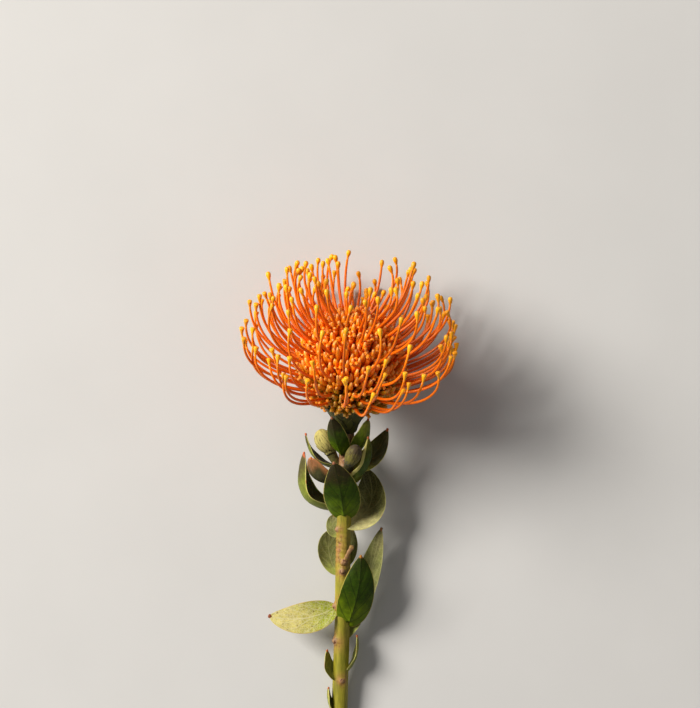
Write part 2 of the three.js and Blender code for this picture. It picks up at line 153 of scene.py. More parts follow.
def smooth(x: Array | float, low: float, high: float) -> Array:
    """0 below low, 1 above high and a soft step between them."""
    t = np.clip((x - low) / (high - low), 0, 1)
    return t * t * (3 - 2 * t)


# ---------------------------------------------------------------- meshes


class MeshDraft:
    """Gathers the parts of one mesh, with the values on their corners that the finish reads."""

    def __init__(self) -> None:
        """Starts with nothing in it."""
        self.corners: list[Array] = []
        self.quads: list[Array] = []
        self.triangles: list[Array] = []
        self.values: dict[str, list[Array]] = {}
        self.count = 0

    def add(self, corners: Array, quads: Array, triangles: Array, **values: Array | float) -> None:
        """Adds one part.

        Args:
            corners: The corners as rows.
            quads: Rows of four corner numbers.
            triangles: Rows of three corner numbers.
            values: For each name, one number for all the corners or one for each.
        """
        self.corners.append(corners)
        self.quads.append(quads.reshape(-1, 4) + self.count)
        self.triangles.append(triangles.reshape(-1, 3) + self.count)
        for name, value in values.items():
            self.values.setdefault(name, []).append(np.broadcast_to(value, len(corners)).astype(np.float32))
        self.count += len(corners)

    def skin(self, rings: Array, ends: tuple[Array, Array], **values: Array | float) -> None:
        """Adds a closed skin over rings of corners.

        Args:
            rings: The corners, as rings of as many corners each.
            ends: The point in the middle of the first ring and of the last one.
            values: As in add, with one number for each ring, one for each corner, or one for all.
        """
        rows, sides = rings.shape[:2]
        corners = np.concatenate([rings.reshape(-1, 3), ends[0][None], ends[1][None]])
        first, after = np.arange(sides), (np.arange(sides) + 1) % sides
        steps = np.arange(rows - 1)[:, None] * sides
        near, far = steps + first, steps + after
        quads = np.stack([near, far, far + sides, near + sides], axis=-1)
        start, last = rows * sides, (rows - 1) * sides
        caps = [np.stack([np.full(sides, start), after, first], axis=-1)]
        caps.append(np.stack([np.full(sides, start + 1), last + first, last + after], axis=-1))
        spread = {}
        for name, value in values.items():
            if np.ndim(value) == 1:
                value = np.repeat(value[:, None], sides, axis=1)
            if np.ndim(value) == 2:
                value = np.concatenate([value.ravel(), [value[0].mean(), value[-1].mean()]])
            spread[name] = value
        self.add(corners, quads, np.concatenate(caps), **spread)

    def rod(
        self,
        line: Array,
        radii: Array,
        sideways: Array,
        sides: int,
        flatness: float = 1.0,
        grooves: Array | float = 0.0,
        **values: Array | float,
    ) -> None:
        """Adds a rod with closed ends round a line.

        Args:
            line: The rod's middle line as rows.
            radii: Its radius at each point of the line.
            sideways: A direction that is across the whole line.
            sides: How many sides it has.
            flatness: Its thickness as a share of its width along sideways.
            grooves: How deep its four grooves are, as a share of the radius, at each point or for all.
            values: As in skin.
        """
        along = unit(np.gradient(line, axis=0))
        thick = unit(np.cross(along, sideways))
        wide = np.cross(thick, along)
        turn = circle(sides)[None, :, None]
        ring = np.cos(turn) * wide[:, None] + flatness * np.sin(turn) * thick[:, None]
        grooves = np.broadcast_to(grooves, len(line))[:, None, None]
        ring = ring * (1 - grooves * (0.5 + 0.5 * np.cos(4 * turn)))
        self.skin(line[:, None] + radii[:, None, None] * ring, (line[0], line[-1]), **values)

    def blade(self, upper: Array, lower: Array, **values: Array | float) -> None:
        """Adds a thin blade between two faces that are split alike, with a rim round them.

        Its corners also get the value upper, which is 1 on the upper face and 0 on the lower one.

        Args:
            upper: The upper face's corners in rows and columns.
            lower: The lower face's corners, as many.
            values: For each name, one number for all, or one for each corner of a face, the same for both.
        """
        rows, columns = upper.shape[:2]
        number = np.arange(rows * columns).reshape(rows, columns)
        count = rows * columns
        quads = np.stack([number[:-1, :-1], number[:-1, 1:], number[1:, 1:], number[1:, :-1]], axis=-1)
        rim = np.concatenate([number[0, :-1], number[:-1, -1], number[-1, :0:-1], number[:0:-1, 0]])
        ahead = np.roll(rim, -1)
        edge = np.stack([ahead, rim, rim + count, ahead + count], axis=-1)
        faces = [quads.reshape(-1, 4), quads.reshape(-1, 4)[:, ::-1] + count, edge]
        corners = np.concatenate([upper.reshape(-1, 3), lower.reshape(-1, 3)])
        spread = {name: np.tile(np.ravel(v), 2) if np.ndim(v) else v for name, v in values.items()}
        side = np.repeat([1.0, 0.0], count)
        self.add(corners, np.concatenate(faces), np.zeros((0, 3), int), upper=side, **spread)

    def build(self, name: str, finish: "Finish", slot: str, node: str) -> None:
        """Makes the object and puts it in the model.

        Args:
            name: The piece's name.
            finish: What its surface looks like.
            slot: The material slot of the record that it belongs to. Not used.
            node: The solid that it stands for.
        """
        mesh = bpy.data.meshes.new(name)
        corners = (np.concatenate(self.corners) - MIDDLE) * MM
        corners[:, 2] = np.maximum(corners[:, 2], 0)
        quads, triangles = np.concatenate(self.quads), np.concatenate(self.triangles)
        loops = np.concatenate([quads.ravel(), triangles.ravel()])
        starts = np.concatenate([np.arange(len(quads)) * 4, len(quads) * 4 + np.arange(len(triangles)) * 3])
        mesh.vertices.add(len(corners))
        mesh.vertices.foreach_set("co", corners.ravel())
        mesh.loops.add(len(loops))
        mesh.loops.foreach_set("vertex_index", loops)
        mesh.polygons.add(len(starts))
        mesh.polygons.foreach_set("loop_start", starts)
        mesh.polygons.foreach_set("use_smooth", np.ones(len(starts), bool))
        mesh.update(calc_edges=True)
        mesh.validate()
        for key, parts in self.values.items():
            layer = mesh.attributes.new(key, "FLOAT", "POINT")
            layer.data.foreach_set("value", np.concatenate(parts))
        piece = bpy.data.objects.new(name, mesh)
        bpy.context.scene.collection.objects.link(piece)
        mesh.materials.append(finish.material())
        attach(piece, BODY)
        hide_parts(node)
        LOG.info("%s: %d faces", name, len(starts))


# ---------------------------------------------------------------- finishes


class Shader:
    """Adds and joins the shader nodes of one material."""

    def __init__(self, name: str, roughness: float, **settings: float | Colour) -> None:
        """Makes a new material.

        Args:
            name: The material's name.
            roughness: How matt it is.
            settings: Other values of the surface shader's sockets, with _ for a space.
        """
        self.material = bpy.data.materials.new(name)
        self.material.use_nodes = True
        self.tree = self.material.node_tree
        self.surface = self.tree.nodes["Principled BSDF"]
        self.surface.inputs["Roughness"].default_value = roughness
        for key, value in settings.items():
            self.surface.inputs[key.replace("_", " ")].default_value = value

    def add(self, kind: str, inputs: dict[str | int, object], **settings: object) -> bpy.types.Node:
        """Adds a node.

        Args:
            kind: The node's type.
            inputs: For each input, a value or another node's output.
            settings: The node's own settings.

        Returns:
            The node.
        """
        node = self.tree.nodes.new(kind)
        for key, value in settings.items():
            setattr(node, key, value)
        for key, value in inputs.items():
            if isinstance(value, Socket):
                self.tree.links.new(value, node.inputs[key])
            else:
                node.inputs[key].default_value = value
        return node

    def value(self, name: str) -> Socket:
        """The value of that name on the mesh's corners."""
        return self.add("ShaderNodeAttribute", {}, attribute_name=name).outputs["Fac"]

    def place(self, stretch: Point = (1, 1, 1)) -> Socket:
        """The point on the object, made longer or shorter along each axis."""
        where = self.add("ShaderNodeTexCoord", {}).outputs["Object"]
        return self.add("ShaderNodeMapping", {"Vector": where, "Scale": stretch}).outputs[0]

    def noise(self, size: float, detail: float = 3, stretch: Point = (1, 1, 1)) -> Socket:
        """Soft noise whose blotches are about size millimetres across."""
        inputs = {"Vector": self.place(stretch), "Scale": 1 / (size * MM), "Detail": detail}
        return self.add("ShaderNodeTexNoise", inputs).outputs["Fac"]

    def net(self, size: float) -> Socket:
        """How far each point is from a net of lines with meshes of about size millimetres."""
        inputs = {"Vector": self.place(), "Scale": 1 / (size * MM), "Randomness": 1.0}
        return self.add("ShaderNodeTexVoronoi", inputs, feature="DISTANCE_TO_EDGE").outputs["Distance"]

    def sum(self, kind: str, a: object, b: object = 0.0, c: object = 0.0) -> Socket:
        """The result of a sum of up to three numbers."""
        return self.add("ShaderNodeMath", {0: a, 1: b, 2: c}, operation=kind).outputs[0]

    def times(self, a: object, b: object) -> Socket:
        """a times b."""
        return self.sum("MULTIPLY", a, b)

    def linear(self, x: object, slope: object, start: object) -> Socket:
        """x times slope, plus start."""
        return self.sum("MULTIPLY_ADD", x, slope, start)

    def wander(self, x: object, size: float, amount: float) -> Socket:
        """x moved up and down by soft noise, by half of amount each way."""
        return self.linear(self.sum("SUBTRACT", self.noise(size), 0.5), amount, x)

    def larger(self, a: object, b: object) -> Socket:
        """The larger of a and b."""
        return self.sum("MAXIMUM", a, b)

    def stripes(self, x: object, per: float, low: float, strength: float) -> Socket:
        """Soft lines where the sine of per times x is above low."""
        return self.step(self.sum("SINE", self.times(x, per)), low, 1.0, 0.0, strength)

    def grained(self, relief: object) -> Socket:
        """The relief with a fine grain over it."""
        return self.linear(relief, 0.6, self.times(self.noise(0.3), 0.4))

    def step(self, x: object, low: float, high: float, start: float = 0.0, end: float = 1.0) -> Socket:
        """start below low, end above high and a soft step between them."""
        inputs = {"Value": x, "From Min": low, "From Max": high, "To Min": start, "To Max": end}
        return self.add("ShaderNodeMapRange", inputs, interpolation_type="SMOOTHSTEP").outputs[0]

    def ramp(self, x: object, *stops: tuple[float, Colour]) -> Socket:
        """The colour at x on a run of colours, each with the x where it stands.

        Args:
            x: Where to read the run of colours.
            stops: Each place on the run and its colour, in order.

        Returns:
            The colour.
        """
        node = self.add("ShaderNodeValToRGB", {"Fac": x})
        elements = node.color_ramp.elements
        for element, (at, colour) in zip((elements[0], elements[1]), (stops[0], stops[-1])):
            element.position = at
            element.color = (*colour, 1)
        for at, colour in stops[1:-1]:
            elements.new(at).color = (*colour, 1)
        return node.outputs["Color"]

    def mix(self, share: object, a: object, b: object) -> Socket:
        """Two colours mixed by share.

        Args:
            share: How much of the second colour there is.
            a: The first colour.
            b: The second colour.

        Returns:
            The colour.
        """
        full = [(*c, 1) if isinstance(c, tuple) else c for c in (a, b)]
        inputs = {"Factor": share, 6: full[0], 7: full[1]}
        return self.add("ShaderNodeMix", inputs, data_type="RGBA").outputs[2]

    def shade(self, colour: object, amount: object) -> Socket:
        """The colour made lighter or darker: amount 1 leaves it."""
        return self.add("ShaderNodeHueSaturation", {"Color": colour, "Value": amount}).outputs[0]

    def finish(self, colour: Socket, height: object, depth: float) -> bpy.types.Material:
        """Joins the colour and the fine relief to the surface.

        Args:
            colour: The surface's colour.
            height: The fine relief, from 0 to 1.
            depth: How many millimetres the relief stands.

        Returns:
            The material.
        """
        self.tree.links.new(colour, self.surface.inputs["Base Color"])
        bump = self.add("ShaderNodeBump", {"Height": height, "Distance": depth * MM, "Strength": 1.0})
        self.tree.links.new(bump.outputs[0], self.surface.inputs["Normal"])
        return self.material


@dataclass(frozen=True)
class Finish:
    """A surface. Each kind of surface says how its material is made."""

    name: str

    def material(self) -> bpy.types.Material:
        """Makes the material, or finds it if it has been made."""
        return bpy.data.materials.get(self.name) or self.make()

    def make(self) -> bpy.types.Material:
        """Makes the material."""
        raise NotImplementedError


@dataclass(frozen=True)
class PetalFinish(Finish):
    """Waxy orange flower tissue whose colour runs along each floret, and greener where the mesh says so,
    which is partly the florets' own paler bases and partly painted light.
    """

    stops: tuple[tuple[float, Colour], ...]
    # the yellow-green of the lower florets: partly their own paler bases, partly painted light
    yellow_base_and_light: Colour = (0.4, 0.31, 0.014)
    roughness: float = 0.4
    gloss: float = 0.4
    glow: float = 0.12
    glow_depth: float = 1.2 * MM
    glow_tint: Colour = (1.0, 0.25, 0.03)
    spread: float = 0.22
    blotch: float = 3.0
    grain: float = 0.25

    def make(self) -> bpy.types.Material:
        """Colour along the floret, lighter and darker from one floret to the next, with a fine grain.

        Returns:
            The material.
        """
        s = Shader(
            self.name,
            self.roughness,
            Specular_IOR_Level=self.gloss,
            Subsurface_Weight=self.glow,
            Subsurface_Scale=self.glow_depth,
            Subsurface_Radius=self.glow_tint,
        )
        along = s.wander(s.value("along"), self.blotch, 0.14)
        colour = s.mix(s.value("green"), s.ramp(along, *self.stops), self.yellow_base_and_light)
        light = s.linear(s.value("shade"), self.spread, 1.0)
        return s.finish(s.shade(colour, light), s.noise(self.grain, 2), 0.05)


@dataclass(frozen=True)
class LeafFinish(Finish):
    """A leathery leaf: veins, a pale margin, a yellower foot, a duller crown and a small horny tip."""

    upper: Colour
    under: Colour
    foot: Colour
    crown: Colour
    crown_from: float = 0.75
    foot_to: float = 0.3
    rim: Colour = (0.42, 0.38, 0.1)
    rim_from: float = 0.94
    rim_to: float = 0.985
    tip: Colour = (0.42, 0.12, 0.04)
    vein: Colour = (0.24, 0.25, 0.07)
    veins: float = 0.4
    net: float = 0.3
    speck: Colour = (0.14, 0.08, 0.015)
    specks: float = 0.2
    glow_tint: Colour = (0.6, 1.0, 0.1)

    def make(self) -> bpy.types.Material:
        """Builds the leaf's colour from its foot to its tip and from its midrib to its margin.

        Returns:
            The material.
        """
        s = Shader(
            self.name,
            0.5,
            Specular_IOR_Level=0.14,
            Subsurface_Weight=0.06,
            Subsurface_Radius=self.glow_tint,
            Subsurface_Scale=1.0 * MM,
        )
        along = s.value("along")
        out = s.sum("ABSOLUTE", s.value("across"))
        blotch = s.sum("SUBTRACT", s.noise(6.0, 4), 0.5)
        at = s.linear(blotch, 0.5, s.linear(out, -0.08, along))
        colour = s.mix(s.value("upper"), self.under, self.upper)
        colour = s.mix(s.step(at, 0.02, self.foot_to, 1.0, 0.0), colour, self.foot)
        colour = s.mix(s.step(at, self.crown_from - 0.2, self.crown_from + 0.15), colour, self.crown)
        colour = s.shade(colour, s.step(s.noise(2.2), 0.3, 0.7, 0.82, 1.18))
        lines = self.lines(s, along, out, blotch)
        colour = s.mix(s.times(lines, self.veins), colour, self.vein)
        fleck = s.step(s.noise(0.55, 2, (0.3, 1.0, 1.0)), 0.62, 0.7)
        colour = s.mix(s.times(fleck, self.specks), colour, self.speck)
        colour = self.margin(s, colour, out)
        horn = s.larger(s.value("horn"), s.step(s.linear(blotch, 0.05, along), 0.965, 1.0))
        return s.finish(s.mix(horn, colour, self.tip), s.grained(lines), 0.1)

    def lines(self, s: Shader, along: Socket, out: Socket, blotch: Socket) -> Socket:
        """Where the veins are, from 0 to 1.

        Args:
            s: The material's shader.
            along: The place from the foot to the tip.
            out: The place from the midrib to the margin.
            blotch: Soft noise that bends the side veins.

        Returns:
            The side veins, the fine net between them and the midrib.
        """
        run = s.linear(s.sum("POWER", out, NERVE_BOW), -NERVES_OUT, s.times(along, NERVES_ALONG))
        side = s.step(s.sum("SINE", s.linear(blotch, 1.5, run)), 0.86, 1.0)
        net = s.step(s.net(1.3), 0.0, 0.12, 1.0, 0.0)
        midrib = s.step(out, 0.015, 0.055, 1.0, 0.0)
        return s.larger(s.larger(s.times(side, 0.7), s.times(net, self.net)), midrib)

    def margin(self, s: Shader, colour: Socket, out: Socket) -> Socket:
        """The colour with the pale margin on it, scorched here and there.

        Args:
            s: The material's shader.
            colour: The colour without the margin.
            out: The place from the midrib to the margin.

        Returns:
            The new colour.
        """
        wander = s.wander(out, 2.0, 0.08)
        colour = s.mix(s.step(wander, self.rim_from, self.rim_to), colour, self.rim)
        scorch = s.times(s.step(wander, 0.96, 1.0), s.step(s.noise(3.5, 2), 0.56, 0.66))
        return s.mix(s.times(scorch, 0.8), colour, self.tip)


@dataclass(frozen=True)
class StemFinish(Finish):
    """Yellow-green bark with streaks along it, browner and pinker where leaves and shoots have been."""

    green: Colour = (0.165, 0.16, 0.007)
    light: Colour = (0.37, 0.315, 0.023)
    blush: Colour = (0.38, 0.165, 0.06)
    scar: Colour = (0.1, 0.033, 0.012)
    cork: Colour = (0.32, 0.175, 0.08)
    lengthwise: Point = (1.0, 0.5, 1.0)

    def make(self) -> bpy.types.Material:
        """Streaked green, with the blush and the scars where the mesh says.

        Returns:
            The material.
        """
        s = Shader(self.name, 0.55, Specular_IOR_Level=0.35)
        streak = s.noise(0.7, 4, (1.0, 0.06, 1.0))
        broad = s.noise(9.0, 3, (1.0, 0.35, 1.0))
        tone = s.linear(streak, 0.35, s.times(broad, 0.65))
        colour = s.mix(s.step(tone, 0.35, 0.65), self.green, self.light)
        patch = s.step(s.noise(2.4, 4, self.lengthwise), 0.36, 0.56, 0.35, 1.0)
        colour = s.mix(s.times(s.value("blush"), patch), colour, self.blush)
        pore = s.step(s.noise(0.6, 2, self.lengthwise), 0.66, 0.74, 0.0, 0.5)
        colour = s.mix(pore, colour, self.blush)
        fleck = s.times(s.step(s.noise(1.1), 0.54, 0.62), s.value("blush"))
        colour = s.mix(s.times(fleck, 0.7), colour, self.scar)
        wear = s.wander(s.value("scar"), 0.8, 0.3)
        colour = s.mix(s.step(wear, 0.1, 0.4), colour, self.cork)
        colour = s.mix(s.step(wear, 0.55, 0.72), colour, self.scar)
        return s.finish(colour, s.grained(streak), 0.15)


@dataclass(frozen=True)
class CutFinish(Finish):
    """The cut end: green bark, a pale ring of wood with rays and a darker pith."""

    stops: tuple[tuple[float, Colour], ...] = (
        (0.0, (0.42, 0.3, 0.14)),
        (0.2, (0.5, 0.4, 0.2)),
        (0.3, (0.62, 0.55, 0.3)),
        (0.84, (0.55, 0.5, 0.24)),
        (0.92, (0.3, 0.33, 0.08)),
        (1.0, (0.24, 0.2, 0.06)),
    )  # from the pith to the bark
    ray: Colour = (0.4, 0.33, 0.15)
    ray_count: float = 40.0

    def make(self) -> bpy.types.Material:
        """Rings by the distance from the middle, with rays and a drying, uneven face.

        Returns:
            The material.
        """
        s = Shader(self.name, 0.7)
        out = s.linear(s.noise(0.8), 0.08, s.value("out"))
        rays = s.stripes(s.value("turn"), self.ray_count, 0.4, 0.3)
        colour = s.mix(rays, s.ramp(out, *self.stops), self.ray)
        return s.finish(colour, s.sum("ADD", rays, s.noise(0.3)), 0.12)


@dataclass(frozen=True)
class ScaleFinish(Finish):
    """Overlapping small bracts with fine pale hairs, and painted shade in the slits between them and on their
    hidden feet.
    """

    # deep: painted shade for the bracts' hidden feet and the slits between them
    deep: Colour
    light: Colour
    tip: Colour
    hair: float = 0.2
    down: Colour = (0.5, 0.42, 0.26)
    crown: Colour = (0.0, 0.0, 0.0)
    crowned: float = 0.0

    def make(self) -> bpy.types.Material:
        """From each bract's hidden foot, darkened with painted shade, to its tip, with edges darkened as
        painted shade in the slits and a downy, finely lined surface.

        Returns:
            The material.
        """
        s = Shader(self.name, 0.65, Specular_IOR_Level=0.3, Sheen_Weight=self.hair, Sheen_Roughness=0.45)
        along, across = s.wander(s.value("along"), 1.2, 0.2), s.value("across")
        # painted shade: the deep colour at each bract's hidden foot stands for the shade under the bract that
        # overlaps it
        colour = s.ramp(along, (0.0, self.deep), (0.3, self.light), (0.8, self.light), (1.0, self.tip))
        colour = s.shade(colour, s.linear(s.value("shade"), 0.16, 1.0))
        colour = s.mix(s.stripes(across, 14.0, 0.5, 0.25), colour, self.tip)
        top = s.wander(s.value("high"), 1.6, 0.3)
        colour = s.mix(s.step(top, 0.62, 0.84, 0.0, self.crowned), colour, self.crown)
        # painted shade: the edges darken towards deep as shade in the slits between bracts
        edge = s.step(s.sum("ABSOLUTE", across), 0.55, 0.88)
        colour = s.mix(s.times(edge, 0.9), colour, self.deep)
        down = s.noise(0.14, 2)
        colour = s.mix(s.step(down, 0.55, 0.8, 0.0, self.hair), colour, self.down)
        return s.finish(colour, down, 0.06)


@dataclass(frozen=True)
class TableFinish(Finish):
    """A plain pale table top."""

    colour: Colour = (0.6, 0.595, 0.585)
    darker: float = 0.97

    def make(self) -> bpy.types.Material:
        """A faint, soft unevenness in a pale matt surface.

        Returns:
            The material.
        """
        s = Shader(self.name, 0.75)
        darker = tuple(self.darker * c for c in self.colour)
        tone = s.ramp(s.noise(60.0), (0.3, darker), (0.7, self.colour))
        return s.finish(tone, s.noise(1.2), 0.02)


STYLE_FINISH = PetalFinish(
    "style_orange",
    stops=(
        (0.0, (0.66, 0.1, 0.003)),
        (0.35, (0.8, 0.14, 0.003)),
        (0.8, (0.86, 0.18, 0.003)),
        (1.0, (0.92, 0.28, 0.005)),
    ),
    roughness=0.34,
    gloss=0.3,
)
PRESENTER_FINISH = PetalFinish(
    "presenter_gold",
    stops=(
        (0.0, (0.9, 0.24, 0.004)),
        (0.35, (0.96, 0.37, 0.005)),
        (0.8, (0.98, 0.44, 0.006)),
        (1.0, (0.96, 0.37, 0.006)),
    ),
    roughness=0.38,
    spread=0.14,
)
PERIANTH_FINISH = PetalFinish(
    "perianth_orange",
    stops=(
        (0.0, (0.46, 0.055, 0.004)),
        (0.35, (0.74, 0.11, 0.003)),
        (0.6, (0.92, 0.21, 0.003)),
        (0.84, (0.96, 0.31, 0.01)),
        # the pale pink end is partly the limbs' own silky colour and partly a painted highlight on their tips
        (1.0, (0.98, 0.48, 0.16)),
    ),
    roughness=0.3,
    glow=0.2,
)
# dark red-brown: partly the receptacle's own colour and partly painted shade for the depths between the
# florets
CORE_FINISH = PetalFinish(
    "core_red_brown",
    stops=((0.0, (0.14, 0.1, 0.008)), (0.5, (0.26, 0.04, 0.003)), (1.0, (0.28, 0.035, 0.003))),
    roughness=0.8,
    gloss=0.1,
)
CUP_FINISH = ScaleFinish(
    "cup_green", deep=(0.018, 0.018, 0.003), light=(0.062, 0.064, 0.006), tip=(0.13, 0.1, 0.02), hair=0.04
)
BUD_FINISH = ScaleFinish(
    "bud_cream", deep=(0.035, 0.032, 0.006), light=(0.42, 0.36, 0.1), tip=(0.5, 0.42, 0.18), hair=0.05
)
BUD_DARK_FINISH = ScaleFinish(
    "bud_olive", deep=(0.022, 0.018, 0.006), light=(0.15, 0.13, 0.022), tip=(0.15, 0.12, 0.04), hair=0.06,
    crown=(0.045, 0.026, 0.016), crowned=0.85,
)


# ---------------------------------------------------------------- the flower head


@dataclass
class HeadFrame:
    """Where the ball of florets stands and where its axis points."""

    centre: Point = (0.9, -4.0, 41.8)
    rise: float = math.radians(22)
    lean: float = math.radians(4.5)

    def __post_init__(self) -> None:
        """Works out the axis, the side and the front of the head."""
        self.middle = np.array(self.centre)
        self.axis = unit(np.array([math.tan(self.lean), math.cos(self.rise), math.sin(self.rise)]))
        self.right = unit(TO_RIGHT - self.axis * (TO_RIGHT @ self.axis))
        self.front = np.cross(self.right, self.axis)

    def outward(self, turn: float) -> Array:
        """The direction away from the axis at an angle round it: 0 is right, a quarter turn is the front."""
        return self.right * math.cos(turn) + self.front * math.sin(turn)

    def place(self, distance: float, height: float, turn: float) -> Array:
        """The point at a distance from the axis, a height along it and an angle round it."""
        return self.middle + self.axis * height + self.outward(turn) * distance


@dataclass(frozen=True)
class Floret:
    """One floret: its number, its angle from the head's axis, its turn round it and how far it has come."""

    number: int
    angle: float
    turn: float
    styled: bool
    closed: bool

    def direction(self) -> Array:
        """Where it stands on the ball, in the head's own directions."""
        flat = math.sin(self.angle)
        return np.array([flat * math.cos(self.turn), flat * math.sin(self.turn), math.cos(self.angle)])


@dataclass
class FloretPlan:
    """The spiral of florets and the line that each one's style takes."""

    head: HeadFrame
    count: int = 146
    widest: float = math.radians(143)
    stray: float = 0.09
    angle: Row = (0, 25, 45, 65, 85, 105, 125, 148)  # degrees from the head's axis, for the next four
    root: Row = (4, 3, 2, -1, -6, -10, -14, -17.5)
    lean: Row = (0, 22, 42, 60, 74, 83, 88, 91)  # degrees
    reach: Row = (3, 16, 28, 38, 46, 51, 53.5, 50.5)
    height: Row = (40, 46, 47.5, 42.5, 33.5, 23, 12.5, 4)
    reach_stray: float = 2.2
    height_stray: float = 3.0
    growth_stray: float = 0.1
    aside: float = 0.11
    start: float = 10.0
    leave: float = 0.5
    arrive: float = 0.35
    finish: float = math.radians(-7)
    finish_stray: float = math.radians(14)
    young_angle: float = math.radians(27)
    young_every: int = 3
    young: float = 0.86
    late_angle: float = math.radians(100)
    late_turn: float = math.radians(-83)
    late_width: float = math.radians(17.5)
    late: float = 0.66
    sparse_turn: float = math.radians(92)
    sparse_width: float = math.radians(50)
    sparse_from: float = math.radians(33)
    sparse_to: float = math.radians(108)
    sparse_every: int = 2
    younger: int = 520
    younger_styled: int = 190
    younger_every: int = 4
    younger_reach: float = 0.95
    younger_lower: float = 2.5
    tries: int = 5000

    def sparse(self, angle: float, turn: float) -> bool:
        """Whether a floret stands in the part of the head that has shed most of its styles."""
        near = math.cos(turn - self.sparse_turn) > math.cos(self.sparse_width)
        return near and self.sparse_from < angle < self.sparse_to

    def florets(self) -> list[Floret]:
        """All the florets: the even spiral, then the younger ones that fill the room between them.

        Returns:
            The florets, those of the spiral first.
        """
        whole = 1 - math.cos(self.widest)
        grown = []
        for i in range(self.count):
            angle = math.acos(1 - (i + 0.5) / self.count * whole)
            turn = i * GOLDEN_ANGLE + self.stray * jitter(i, Stray.FLORET_TURN)
            out = angle > self.young_angle or i % self.young_every != 0
            out = out and (i % self.sparse_every == 0 or not self.sparse(angle, turn))
            grown.append(Floret(i, angle, turn, out, False))
        tries = np.arange(self.tries)
        angles = np.arccos(1 - (tries + 0.5) / self.tries * whole)
        turns = tries * GOLDEN_ANGLE
        flat = np.sin(angles)
        places = np.stack([flat * np.cos(turns), flat * np.sin(turns), np.cos(angles)], axis=1)
        nearest = np.full(self.tries, -1.0)
        for floret in grown:
            nearest = np.maximum(nearest, places @ floret.direction())
        for k in range(self.younger):
            best = int(np.argmin(nearest))
            angle, turn = float(angles[best]), float(turns[best])
            out = angle > self.young_angle and k < self.younger_styled and k % self.younger_every == 0
            out = out and not self.sparse(angle, turn)
            grown.append(Floret(self.count + k, angle, turn, out, not out))
            nearest = np.maximum(nearest, places @ places[best])
        return grown

    def growth(self, floret: Floret) -> float:
        """How high a floret's style has grown, as a share of the full height.

        Args:
            floret: The floret.

        Returns:
            The share: less than 1 at the head's top and in the strip of late styles.
        """
        stray = self.growth_stray * jitter(floret.number, Stray.STYLE_GROWTH)
        near = math.cos(floret.turn - self.late_turn) > math.cos(self.late_width)
        if near and floret.angle < self.late_angle:
            return self.late + stray
        return self.young + stray if floret.angle < self.young_angle else 1.0

    def style_line(self, floret: Floret, count: int) -> Array:
        """The middle line of a floret's style, from inside the ball to its end.

        Args:
            floret: The floret.
            count: How many points to return.

        Returns:
            The points as rows, evenly spaced.
        """
        i, turn = floret.number, floret.turn
        at = math.degrees(floret.angle)
        tables = (self.root, self.lean, self.reach, self.height)
        root, lean, reach, height = (float(np.interp(at, self.angle, table)) for table in tables)
        lean = math.radians(lean)
        finish = self.finish + self.finish_stray * jitter(i, Stray.STYLE_END)
        aside = self.aside * jitter(i, Stray.STYLE_ASIDE)
        out, up = self.start * math.sin(lean), root + self.start * math.cos(lean)
        end_out = reach + self.reach_stray * jitter(i, Stray.STYLE_REACH)
        end_up = (height + self.height_stray * jitter(i, Stray.STYLE_HEIGHT)) * self.growth(floret)
        if i >= self.count:
            end_out, end_up = end_out * self.younger_reach, end_up - self.younger_lower
        length = math.hypot(end_out - out, end_up - up)
        leave, arrive = self.leave * length, self.arrive * length
        place = self.head.place
        controls = [
            place(out, up, turn),
            place(out + leave * math.sin(lean), up + leave * math.cos(lean), turn + aside / 3),
            place(end_out - arrive * math.sin(finish), end_up - arrive * math.cos(finish), turn + aside),
            place(end_out, end_up, turn + aside),
        ]
        return bezier(controls, count)

    def sideways(self, floret: Floret) -> Array:
        """The direction round the head at a floret."""
        return self.head.outward(floret.turn + math.pi / 2)


